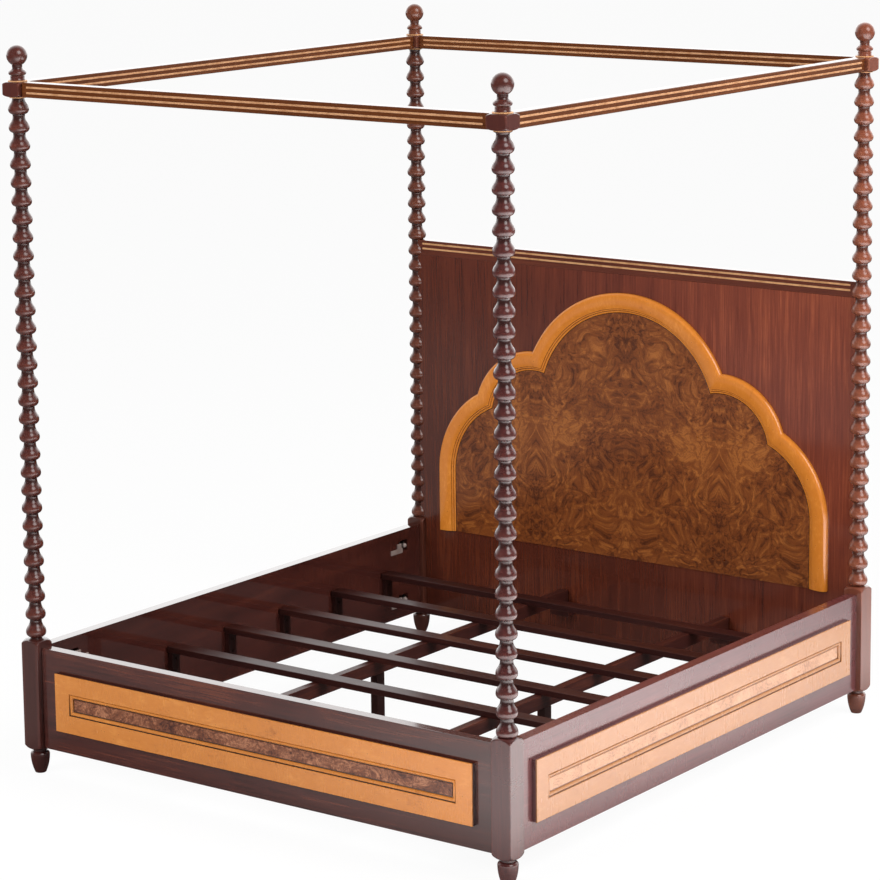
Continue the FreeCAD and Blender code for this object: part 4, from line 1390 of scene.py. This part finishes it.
@dataclass
class RailPanel:
    """A rail's raised panel: golden frame, sunk bead moulding and burl strip.

    Attributes:
        side: the rail that carries it.
        round: radius of the frame's edges.
        strip_round: radius of the burl strip's edges.
    """

    side: Side
    round: float = 0.0018
    strip_round: float = 0.0004

    # The moulding's section as inset and height over its top, from the lip inwards to the burl
    LIP = ((0.0, -0.0012), (0.0006, -0.0012), (0.0012, -0.005), (0.0028, -0.0052))
    BEAD = ((0.0035, -0.0034), (0.0125, -0.0066))
    BEAD_ROUND = 0.0062
    BEAD_FOOT = (0.0132, -0.0095)
    FLOOR, GAP = -0.0098, 0.0002

    # Share of the hollows' darkening kept along the upper edge: in the quirk of every panel, and all over
    # the right one; the lower edge keeps it all, so its quirk is darker as painted shade
    UPPER_DARKENING = 0.3
    RIGHT_DARKENING = 0.3

    def sweep(self, half: float, low: float, high: float, profile: np.ndarray, relief: np.ndarray,
              origin: Vector) -> Surface:
        """A closed profile carried round a rectangle with mitred corners.

        Each profile point is an inset and a height out of the rail's face. Its path is the rectangle drawn
        in by that inset.

        Args:
            half: half the rectangle's length.
            low: its lower edge.
            high: its upper edge.
            profile: inset and height in rows, as a closed loop.
            relief: relief for each row, or for each corner and row.
            origin: middle of the rail's face, at floor level.

        Returns:
            The frame's surface.
        """
        along, out = (np.array(way, float) for way in self.side.value)
        inset = profile[:, 0]
        reach = np.array([-1.0, 1.0, 1.0, -1.0])[:, None] * (half - inset)
        level = np.stack([low + inset, low + inset, high - inset, high - inset])
        up = np.array([0.0, 0.0, 1.0])
        grid = (np.array(origin) + reach[..., None] * along + level[..., None] * up
                + profile[:, 1][None, :, None] * out)
        return tube(grid, np.broadcast_to(relief, reach.shape), ring=True)

    def extents(self, node: str) -> tuple[float, float, float, float, float]:
        """A node's half length, lower and upper edge, and its back and front out of the bed's middle.

        Args:
            node: the node.

        Returns:
            The five measures in that order.
        """
        low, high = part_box(node)
        run = int(np.argmax(np.abs(self.side.value[0])))
        face = 1 - run
        spans = sorted((abs(low[face]), abs(high[face])))
        return (high[run] - low[run]) / 2, low.z, high.z, spans[0], spans[1]

    def build(self) -> None:
        """Make the frame, the moulding and the burl strip of one panel."""
        name = self.side.name.lower() + "_panel"
        out = Vector(self.side.value[1])
        maple = PANEL_MAPLES[self.side]
        half, low, high, back, front = self.extents(name + "_face")
        inner = self.extents(name + "_moulding")
        border = half - inner[0]
        thick = front - back
        side_top = thick - self.round
        edge = np.concatenate([
            [[0.0, 0.0]],
            arc((0.0, side_top), (self.round, thick), -self.round, steps=4),
            [[self.round, thick]],
            arc((border - self.round, thick), (border, side_top), -self.round, steps=4),
            [[border, side_top], [border, 0.0]],
        ])
        proud = np.where((edge[:, 1] > side_top) & (edge[:, 1] < thick), 1.0, 0.0)
        face = self.sweep(half, low, high, edge, proud, out * back)
        add_piece(name + "_face_frame", [face], maple, [name + "_face"])
        self.build_moulding(name, maple, inner)
        strip_low, strip_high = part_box(name + "_burl")
        run = Axis.ACROSS if self.side is Side.FOOT else Axis.ALONG
        burl = SIDE_STRIP_BURL if self.side is Side.RIGHT else STRIP_BURL
        strip = rounded_bar(strip_low, strip_high, self.strip_round, run, steps=2)
        add_piece(name + "_burl_strip", [strip], burl, [name + "_burl"])

    def build_moulding(self, name: str, maple: Finish, extents: tuple[float, ...]) -> None:
        """The sunk moulding: a dark quirk, a round bead that falls inwards and a second quirk at the burl.

        Args:
            name: the panel's name.
            maple: its finish.
            extents: half length, edges, back and front of the moulding.
        """
        half, low, high, back, front = extents
        depth = front - back
        width = half - self.extents(name + "_burl")[0]
        bead = arc(*self.BEAD, -self.BEAD_ROUND, steps=9)
        foot = [self.BEAD[1], self.BEAD_FOOT, (width - self.GAP, self.FLOOR)]
        section = np.concatenate([self.LIP, bead, foot]) + np.array([0.0, depth])
        rows = np.concatenate([[[0.0, 0.0]], section, [[width, 0.0]]])
        in_quirk = rows[:, 0] <= self.LIP[-1][0]
        hollow = np.where(in_quirk | (rows[:, 0] > self.BEAD[1][0]), -1.0, 0.0)
        # Darkening in the hollows, kept only in part along the upper edge so that the lower quirk reads
        # darker: painted shade
        panel_darkening = self.RIGHT_DARKENING if self.side is Side.RIGHT else 1.0
        kept = panel_darkening * np.where(in_quirk, self.UPPER_DARKENING, 1.0)
        hollow = np.stack([hollow, hollow, hollow * kept, hollow * kept])
        origin = Vector(self.side.value[1]) * back
        moulding = self.sweep(half, low, high, rows, hollow, origin)
        add_piece(name + "_moulding_bead", [moulding], maple, [name + "_moulding"])


@dataclass
class ArchLobe:
    """One round lobe of the arch, on the right-hand half.

    Attributes:
        out: how far its centre stands from the bed's centre line.
        level: height of its centre.
        radius: its radius.
    """

    out: float
    level: float
    radius: float


@dataclass
class Headboard:
    """Panel, top rail with brass lines, scalloped arch and book-matched burl field.

    Attributes:
        side_lobe: the lobe over the arch's leg.
        mid_lobe: the lobe between.
        top_lobe: the lobe at the crown.
        band: width of the arch's full band.
        sight: width of band and beads together.
        edge: radius of the top rail's edges.
        joint: radius of edges at joints.
        line: width of a brass line.
        line_inset: how far the lines lie inside the band that the frame gives them.
    """

    side_lobe: ArchLobe
    mid_lobe: ArchLobe
    top_lobe: ArchLobe
    band: float = 0.056
    sight: float = 0.073
    edge: float = 0.002
    joint: float = 0.0005
    line: float = 0.0066
    line_inset: float = 0.0012

    @staticmethod
    def crossing(first: ArchLobe, second: ArchLobe, inset: np.ndarray) -> tuple[np.ndarray, np.ndarray]:
        """Angles, on each of two lobes drawn in by an inset, of the point where they cross on the outside.

        The point lies on the line through both crossings, off the line of centres by the height of the
        triangle whose sides are the two radii and the distance between the centres.

        Args:
            first: the lower lobe.
            second: the upper lobe.
            inset: how far both are drawn in.

        Returns:
            The angle on the first lobe and on the second.
        """
        gap = np.array([second.out - first.out, second.level - first.level])
        length = np.hypot(*gap)
        one, two = first.radius - inset, second.radius - inset
        along = (one ** 2 - two ** 2 + length ** 2) / (2 * length)
        off = np.sqrt(np.maximum(one ** 2 - along ** 2, 0.0))
        unit = gap / length
        x = along * unit[0] + off * unit[1]
        z = along * unit[1] - off * unit[0]
        return np.arctan2(z, x), np.arctan2(z - gap[1], x - gap[0])

    def outline(self, inset: np.ndarray, foot: float) -> np.ndarray:
        """The arch's outline drawn in by each inset, from the right foot over the crown to the left foot.

        Each lobe is a run of angles between its crossings with its neighbours. The right half is mirrored.

        Args:
            inset: how far the outline is drawn in, one value for each profile point.
            foot: height of the arch's foot.

        Returns:
            Points across and up, as path rows and profile columns.
        """
        low_end, mid_start = self.crossing(self.side_lobe, self.mid_lobe, inset)
        mid_end, top_start = self.crossing(self.mid_lobe, self.top_lobe, inset)
        side_steps, mid_steps, top_steps = 40, 28, 44
        crown = np.full_like(inset, np.pi / 2)
        spans = ((self.side_lobe, np.zeros_like(inset), low_end, side_steps),
                 (self.mid_lobe, mid_start, mid_end, mid_steps),
                 (self.top_lobe, top_start, crown, top_steps))
        leg_out = self.side_lobe.out + self.side_lobe.radius - inset
        parts = [np.stack([leg_out, np.full_like(inset, foot)], axis=-1)[None]]
        for lobe, start, stop, steps in spans:
            share = np.linspace(0, 1, steps + 1)[:, None]
            angle = start + share * (stop - start)
            radius = lobe.radius - inset
            curve = [lobe.out + radius * np.cos(angle), lobe.level + radius * np.sin(angle)]
            parts.append(np.stack(curve, axis=-1))
        right = np.concatenate(parts)
        left = right[:-1][::-1] * np.array([-1.0, 1.0])
        return np.concatenate([right, left])

    def arch_profile(self, thick: float, floor: float) -> tuple[np.ndarray, np.ndarray]:
        """The arch moulding's section: round outer edge, full band that falls inwards, two beads and a rim.

        A quirk runs beside each bead. Quirks and rim are hollow.

        Args:
            thick: how far the band stands out of the board.
            floor: how far the burl stands out of the board.

        Returns:
            Inset and height in rows as a closed loop, and the relief of each row.
        """
        outer, lip, fall = 0.014, 0.0015, 0.008
        outer_round, band_round, bead_round = 0.0128, 0.1, 0.0042
        quirk, deep, wall, bead, step, rim = 0.0016, 0.0016, 0.0002, 0.0052, 0.0038, 0.002
        first_fall, second_fall = 0.0024, 0.0022
        ledge = thick - fall - deep
        first, second = self.band + quirk, self.band + 2 * quirk + bead
        rows = [(0.0, 0.0),
                *arc((0.0, thick - outer), (outer, thick - lip), -outer_round, steps=9),
                *arc((outer, thick - lip), (self.band, thick - fall), -band_round, steps=10),
                (self.band, thick - fall)]
        relief = [0.0] * len(rows)
        for start, level, drop in ((first, ledge, first_fall), (second, ledge - step, second_fall)):
            stop = (start + bead, level - drop)
            groove = [(rows[-1][0] + wall, level - deep), (start, level - deep - wall)]
            bead_rows = [*arc((start, level), stop, -bead_round, steps=7), stop]
            rows += groove + bead_rows
            relief += [-1.0] * len(groove) + [0.0] * len(bead_rows)
        rim_rows = [(self.sight - rim, floor + 2 * wall), (self.sight, floor + wall), (self.sight, 0.0)]
        return np.array(rows + rim_rows), np.array(relief + [-1.0] * len(rim_rows))

    def build_arch(self) -> None:
        """Carry the arch's section along its scalloped outline."""
        low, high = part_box("headboard_arch")
        burl_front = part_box("headboard_burl")[0].y
        profile, relief = self.arch_profile(high.y - low.y, high.y - burl_front)
        path = self.outline(profile[:, 0], low.z)
        depth = np.broadcast_to(high.y - profile[:, 1], path.shape[:2])
        grid = np.stack([path[..., 0], depth, path[..., 1]], axis=-1)
        surface = tube(grid, np.broadcast_to(relief, path.shape[:2]))
        add_piece("headboard_arch_moulding", [surface], ARCH_MAPLE, ["headboard_arch"])

    def build(self) -> None:
        """Make the board, its top rail and lines, the arch and the burl field."""
        low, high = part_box("headboard_panel")
        board = rounded_bar(low, high, self.joint, Axis.UP)
        add_piece("headboard_panel_board", [board], HEAD_WOOD, ["headboard_panel"])
        low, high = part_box("headboard_top_rail")
        rail = rounded_bar(low, high, self.edge, Axis.ACROSS)
        add_piece("headboard_top_rail_bar", [rail], HEAD_RAIL_WOOD, ["headboard_top_rail"])
        self.build_lines()
        dress_node("headboard_burl", HEAD_BURL)
        self.build_arch()

    def build_lines(self) -> None:
        """Two brass lines in the top rail, in the place of the frame's lines."""
        low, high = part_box("headboard_lines")
        strips = []
        for bottom in (low.z + self.line_inset, high.z - self.line_inset - self.line):
            strip_low = (low.x, low.y, bottom)
            strip_high = (high.x, high.y, bottom + self.line)
            strips.append(rounded_bar(strip_low, strip_high, self.joint, Axis.ACROSS, steps=2))
        add_piece("headboard_line_strips", strips, BRASS, ["headboard_lines"])


@dataclass
class BedRails:
    """Foot rail and side rails with their raised panels.

    Attributes:
        edge: radius of the rails' edges.
        panel_edge: radius of the panels' edges.
    """

    edge: float = 0.002
    panel_edge: float = 0.0012

    def build(self) -> None:
        """Dress the rails and backings and make the panels."""
        for side in Side:
            name = side.name.lower()
            node = "foot_rail" if side is Side.FOOT else "side_rail_" + name
            dress_node(node, RAIL_WOODS[side], self.edge)
            dress_node(name + "_panel_backing", RAIL_WOODS[side], self.panel_edge)
            RailPanel(side).build()


@dataclass
class SlatDeck:
    """Slats, the blocks that carry them, bearers, legs and cleats.

    Attributes:
        slats: how many slats there are.
        edge: radius of the members' edges.
    """

    slats: int = 6
    edge: float = 0.0022

    def member(self, node: str, finish: Finish, run: Axis, body: str = BED) -> None:
        """One straight member with rounded edges, in place of its node."""
        low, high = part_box(node)
        add_piece(node + "_bar", [rounded_bar(low, high, self.edge, run)], finish, [node], body)

    def build(self) -> None:
        """Make every slat, bearer and leg and dress the blocks and cleats."""
        for number in range(1, self.slats + 1):
            node = f"slat_{number}"
            self.member(node, SLAT_WOOD, Axis.ACROSS, node)
        for side in ("left", "right"):
            self.member("bearer_" + side, BEARER_WOOD, Axis.ALONG)
            self.member("bearer_leg_" + side, UPRIGHT_WOOD, Axis.UP)
        dress_node("slat_blocks", UPRIGHT_WOOD, self.edge)
        dress_node("bearer_cleats", BEARER_WOOD, self.edge)


@dataclass
class Fixings:
    """Pins, studs, nuts, screws and dowels that hold the bed together, and the plates over the nuts.

    Attributes:
        nut: radius of a nut over its corners.
        knob: radius of the round cap on a nut.
        knob_start: from the nuts' outer end to the cap's middle.
        strip: from the nuts' outer end to both ends of a plate's long strip.
        strip_height: height of that strip.
        strip_thick: how far the strip stands out of the rail.
        tab: from the nuts' outer end to both sides of the tab that rises from the strip.
        tab_height: height of the tab.
        tab_thick: how far the tab stands out of the rail.
        drop: from a nut's axis down to the plate's lower edge.
        edge: radius of the plate's edges.
    """

    nut: float = 0.0092
    knob: float = 0.0085
    knob_start: float = 0.022
    strip: tuple[float, float] = (0.032, 0.102)
    strip_height: float = 0.018
    strip_thick: float = 0.003
    tab: tuple[float, float] = (0.04, 0.064)
    tab_height: float = 0.036
    tab_thick: float = 0.0039
    drop: float = 0.026
    edge: float = 0.001

    METAL = ("finial_pins", "rail_studs", "rail_nuts", "block_screws")
    WOOD = ("tester_dowels", "headboard_dowels", "leg_dowels")

    def plate_at(self, side: int, end: int, level: float) -> list[Surface]:
        """The plate and cap over one nut, on a side rail's inner face.

        Args:
            side: 1 on the right rail and -1 on the left.
            end: 1 at the head and -1 at the foot.
            level: height of the nut.

        Returns:
            Strip, tab and cap as closed surfaces.
        """
        face = abs(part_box("side_rail_left")[1].x)
        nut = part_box("rail_nuts")[1].y
        bottom = level - self.drop
        bars = []
        for (start, stop), height, thick in ((self.strip, self.strip_height, self.strip_thick),
                                             (self.tab, self.tab_height, self.tab_thick)):
            across = sorted((side * (face + thick), side * (face - thick)))
            along = sorted((end * (nut - start), end * (nut - stop)))
            low = (across[0], along[0], bottom)
            high = (across[1], along[1], bottom + height)
            bars.append(rounded_bar(low, high, self.edge, Axis.ALONG))
        cap = (side * (face - self.strip_thick), end * (nut - self.knob_start), level)
        return bars + [self.ball_at(cap)]

    def ball_at(self, place: Sequence[float]) -> Surface:
        """A round cap: latitude and longitude on a ball.

        Args:
            place: the ball's middle.

        Returns:
            The ball's surface.
        """
        rings, columns = 13, 24
        latitude = np.linspace(-np.pi / 2, np.pi / 2, rings)
        longitude = np.linspace(0, 2 * np.pi, columns, endpoint=False)
        grid = self.knob * np.stack([np.outer(np.cos(latitude), np.cos(longitude)),
                                     np.outer(np.cos(latitude), np.sin(longitude)),
                                     np.repeat(np.sin(latitude)[:, None], columns, axis=1)], axis=-1)
        return tube(grid + np.array(place), np.zeros(grid.shape[:2]))

    def build(self) -> None:
        """Dress every fixing and set the plates over the nuts of the side rails."""
        for node in self.METAL:
            dress_node(node, SCREW if node == "block_screws" else STEEL)
        for node in self.WOOD:
            dress_node(node, BEECH)
        low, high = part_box("rail_nuts")
        levels = (low.z + self.nut, high.z - self.nut)
        plates = [surface for side in (-1, 1) for end in (-1, 1) for level in levels
                  for surface in self.plate_at(side, end, level)]
        add_piece("rail_nut_plates", plates, ZINC, [])


@dataclass
class Lamp:
    """A soft square lamp.

    Attributes:
        name: the lamp's name.
        place: where it stands.
        size: side of the square.
        power: its power in watts.
    """

    name: str
    place: Place
    size: float
    power: float


@dataclass
class Studio:
    """Pale floor, white surround, soft lamps and the camera.

    Attributes:
        eye: the camera's place.
        yaw: how far the camera is turned to the left of straight ahead, in degrees.
        pitch: how far it looks down, in degrees.
        roll: its tilt, in degrees.
        focal: focal length in image widths.
        drop: shift of the frame in image widths, below 0 where it is shifted down.
        sensor: width of the sensor in millimetres.
        far: how far the camera sees.
        floor_half: half the side of the floor.
        floor_colour: the floor's colour.
        mirrored_colour: the warmer colour it has in reflections.
        floor_glow: share of plain white in the floor that the camera sees.
        sky: strength of the surround's light.
        room: strength of the surround in reflections, on the camera's side and behind the bed.
        room_edge: how far a direction points ahead of the camera where it starts to rise, and where it ends.
        window: direction of the bright patch in reflections.
        window_edge: how far a direction points that way where the patch starts and where it is full.
        window_glow: strength of that patch.
        shade: how much of the floor's colour shows in reflections, on the left and on the right.
        lit: where it starts to rise from left to right, and where it ends.
        fade: how much of it is kept far behind the bed.
        fading: where it starts to fall towards the back, and where it ends.
        front: how much of it is kept far in front of the bed.
        fronting: where it has fallen to that, far in front of the bed, and where it starts to fall.
        under_bed: how much of it shows under and behind the bed, a painted shadow of the bed in reflections.
        dark_floor: half the width and half the length of that dark floor, and its middle along the bed.
        dark_edge: where the dark floor ends and where the open floor starts, in those half sizes.
        target: what the lamps point at.
    """

    eye: Place = (5.9741, -8.1551, 3.1740)
    yaw: float = 36.51
    pitch: float = 9.93
    roll: float = -0.61
    focal: float = 3121.96 / 880
    drop: float = -110 / 880
    sensor: float = 36.0
    far: float = 200.0
    floor_half: float = 40.0
    floor_colour: Colour = (0.86, 0.855, 0.85)
    mirrored_colour: Colour = (0.88, 0.82, 0.815)
    floor_glow: float = 0.93
    sky: float = 0.5
    room: tuple[float, float] = (0.05, 1.7)
    room_edge: tuple[float, float] = (-0.2, 1.0)
    window: Place = (0.78, -0.20, 0.60)
    window_edge: tuple[float, float] = (0.92, 0.985)
    window_glow: float = 3.2
    shade: tuple[float, float] = (0.22, 1.75)
    lit: tuple[float, float] = (-1.2, 1.8)
    fade: float = 0.15
    fading: tuple[float, float] = (0.3, 4.0)
    front: float = 0.3
    fronting: tuple[float, float] = (-6.0, -3.0)
    under_bed: float = 0.14
    dark_floor: Place = (0.97, 2.3, 1.2)
    dark_edge: tuple[float, float] = (0.95, 1.35)
    target: Place = (0.0, 0.0, 0.8)

    def lamps(self) -> tuple[Lamp, ...]:
        """The soft lamps: one high on the right, one on the left in front."""
        return (Lamp("right_softbox", place=(5.0, 0.6, 4.8), size=4.5, power=500.0),
                Lamp("left_softbox", place=(-2.0, -7.5, 5.0), size=5.0, power=540.0))

    def build_camera(self) -> None:
        """The camera, from its angles: ahead, right and up make its matrix."""
        yaw, pitch, roll = (math.radians(angle) for angle in (self.yaw, self.pitch, self.roll))
        level_ahead = math.cos(pitch) * Vector((-math.sin(yaw), math.cos(yaw), 0.0))
        ahead = level_ahead - math.sin(pitch) * Vector((0.0, 0.0, 1.0))
        level = Vector((math.cos(yaw), math.sin(yaw), 0.0))
        above = level.cross(ahead)
        right = math.cos(roll) * level + math.sin(roll) * above
        up = math.cos(roll) * above - math.sin(roll) * level
        data = bpy.data.cameras.new("camera")
        data.sensor_width = self.sensor
        data.lens = self.focal * self.sensor
        data.shift_y = self.drop
        data.clip_end = self.far
        camera = bpy.data.objects.new("camera", data)
        bpy.context.scene.collection.objects.link(camera)
        turn = Matrix((right, up, -ahead)).transposed()
        camera.matrix_world = Matrix.Translation(Vector(self.eye)) @ turn.to_4x4()
        bpy.context.scene.camera = camera

    def build_lamps(self) -> None:
        """The soft lamps, each turned towards the bed and left out of its reflections."""
        for lamp in self.lamps():
            data = bpy.data.lights.new(lamp.name, "AREA")
            data.shape = "SQUARE"
            data.size = lamp.size
            data.energy = lamp.power
            thing = bpy.data.objects.new(lamp.name, data)
            thing.visible_glossy = False
            bpy.context.scene.collection.objects.link(thing)
            place = Vector(lamp.place)
            turn = (Vector(self.target) - place).to_track_quat("-Z", "Y")
            thing.matrix_world = Matrix.Translation(place) @ turn.to_matrix().to_4x4()

    def build_world(self) -> None:
        """A surround that is white to the camera, dim in reflections and an even light otherwise."""
        world = bpy.data.worlds.new("white_surround")
        world.use_nodes = True
        bpy.context.scene.world = world
        graph = Graph(world.node_tree)
        path = graph.add("LightPath").outputs
        way = graph.add("TexCoord").outputs["Generated"]
        yaw = math.radians(self.yaw)
        ahead = graph.dot(way, (-math.sin(yaw), math.cos(yaw), 0.0))
        back = graph.spread(ahead, *self.room_edge, *self.room)
        patch = graph.spread(graph.dot(way, self.window), *self.window_edge, 0.0, self.window_glow)
        extra = graph.math("SUBTRACT", graph.math("ADD", back, patch), self.sky)
        even = graph.math("MULTIPLY_ADD", path["Is Glossy Ray"], extra, self.sky)
        to_white = graph.math("SUBTRACT", 1.0, even)
        strength = graph.math("MULTIPLY_ADD", path["Is Camera Ray"], to_white, even)
        light = graph.add("Background", {"Color": (1.0, 1.0, 1.0), "Strength": strength})
        out = graph.add("OutputWorld")
        graph.tree.links.new(light.outputs[0], out.inputs["Surface"])

    def beside_bed(self, graph: Graph, split: bpy.types.NodeOutputs) -> bpy.types.NodeSocket:
        """1 on the open floor, falling to a low share under the bed and behind it: a painted shadow of the
        bed.

        Args:
            graph: the floor's graph.
            split: the place on the floor, as separate coordinates.

        Returns:
            The share's output.
        """
        width, length, middle = self.dark_floor
        across = graph.math("DIVIDE", graph.math("ABSOLUTE", split["X"]), width)
        offset = graph.math("ABSOLUTE", graph.math("SUBTRACT", split["Y"], middle))
        along = graph.math("DIVIDE", offset, length)
        reach = graph.math("MAXIMUM", across, along)
        return graph.spread(reach, *self.dark_edge, self.under_bed, 1.0)

    def build_floor(self) -> None:
        """A pale floor that turns white where the camera sees it, and keeps a trace of the bed's shadow."""
        half = self.floor_half
        mesh = bpy.data.meshes.new("floor")
        square = [(-half, -half, 0.0), (half, -half, 0.0), (half, half, 0.0), (-half, half, 0.0)]
        mesh.from_pydata(square, [], [(0, 1, 2, 3)])
        floor = bpy.data.objects.new("floor", mesh)
        bpy.context.scene.collection.objects.link(floor)
        material = bpy.data.materials.new("pale_floor")
        material.use_nodes = True
        graph = Graph(material.node_tree)
        path = graph.add("LightPath").outputs
        place = graph.add("TexCoord").outputs["Object"]
        split = graph.add("SeparateXYZ", {"Vector": place}).outputs
        ends = graph.math("MULTIPLY", graph.spread(split["Y"], *self.fading, 1.0, self.fade),
                          graph.spread(split["Y"], *self.fronting, self.front, 1.0))
        open_floor = graph.math("MULTIPLY", graph.spread(split["X"], *self.lit, *self.shade), ends)
        shade = graph.math("MULTIPLY", open_floor, self.beside_bed(graph, split))
        kept = graph.math("MULTIPLY_ADD", path["Is Glossy Ray"], graph.math("SUBTRACT", shade, 1.0), 1.0)
        seen = graph.mix(path["Is Glossy Ray"], self.floor_colour, self.mirrored_colour)
        tint = graph.mix(1.0, seen, kept, "MULTIPLY")
        paint = graph.add("BsdfDiffuse", {"Color": tint})
        glow = graph.add("Emission", {"Color": (1.0, 1.0, 1.0), "Strength": 1.0})
        share = graph.math("MULTIPLY", path["Is Camera Ray"], self.floor_glow)
        blend = graph.add("MixShader", {"Fac": share})
        graph.tree.links.new(paint.outputs[0], blend.inputs[1])
        graph.tree.links.new(glow.outputs[0], blend.inputs[2])
        out = graph.add("OutputMaterial")
        graph.tree.links.new(blend.outputs[0], out.inputs["Surface"])
        mesh.materials.append(material)

    def build(self) -> None:
        """Set up the whole studio."""
        self.build_world()
        self.build_floor()
        self.build_lamps()
        self.build_camera()
        bpy.context.scene.view_settings.view_transform = "Standard"


def build_groups() -> None:
    """Build every shared node group once."""
    for build in (build_grain_group, build_eyes_group, build_burl_group, build_polish_group,
                  build_wear_and_shade_group):
        build()


def main() -> None:
    """Build the bed's pieces in order, then the studio around it."""
    logging.basicConfig(level=logging.INFO, format="%(name)s %(message)s")
    build_groups()
    # Darkening below 0 paints shade on the blocks and feet of three posts
    posts = {
        "foot_left": Post(lift=0.002, darkening=-0.6),
        "foot_right": Post(lift=-0.0085, finish=TURNED_DARK),
        "head_left": Post(lift=-0.007, darkening=-0.6, finish=TURNED_BROWN),
        "head_right": Post(lift=-0.0025, darkening=-0.4, finish=TURNED_LIT),
    }
    for corner in corners():
        posts[corner.name].build(corner)
    PostTop().build(Post())
    Tester().build()
    BedRails().build()
    Headboard(
        side_lobe=ArchLobe(out=0.479, level=0.650, radius=0.347),
        mid_lobe=ArchLobe(out=0.396, level=0.873, radius=0.263),
        top_lobe=ArchLobe(out=0.0, level=0.942, radius=0.443),
    ).build()
    SlatDeck().build()
    Fixings().build()
    Studio().build()


if __name__ == "__main__":
    main()
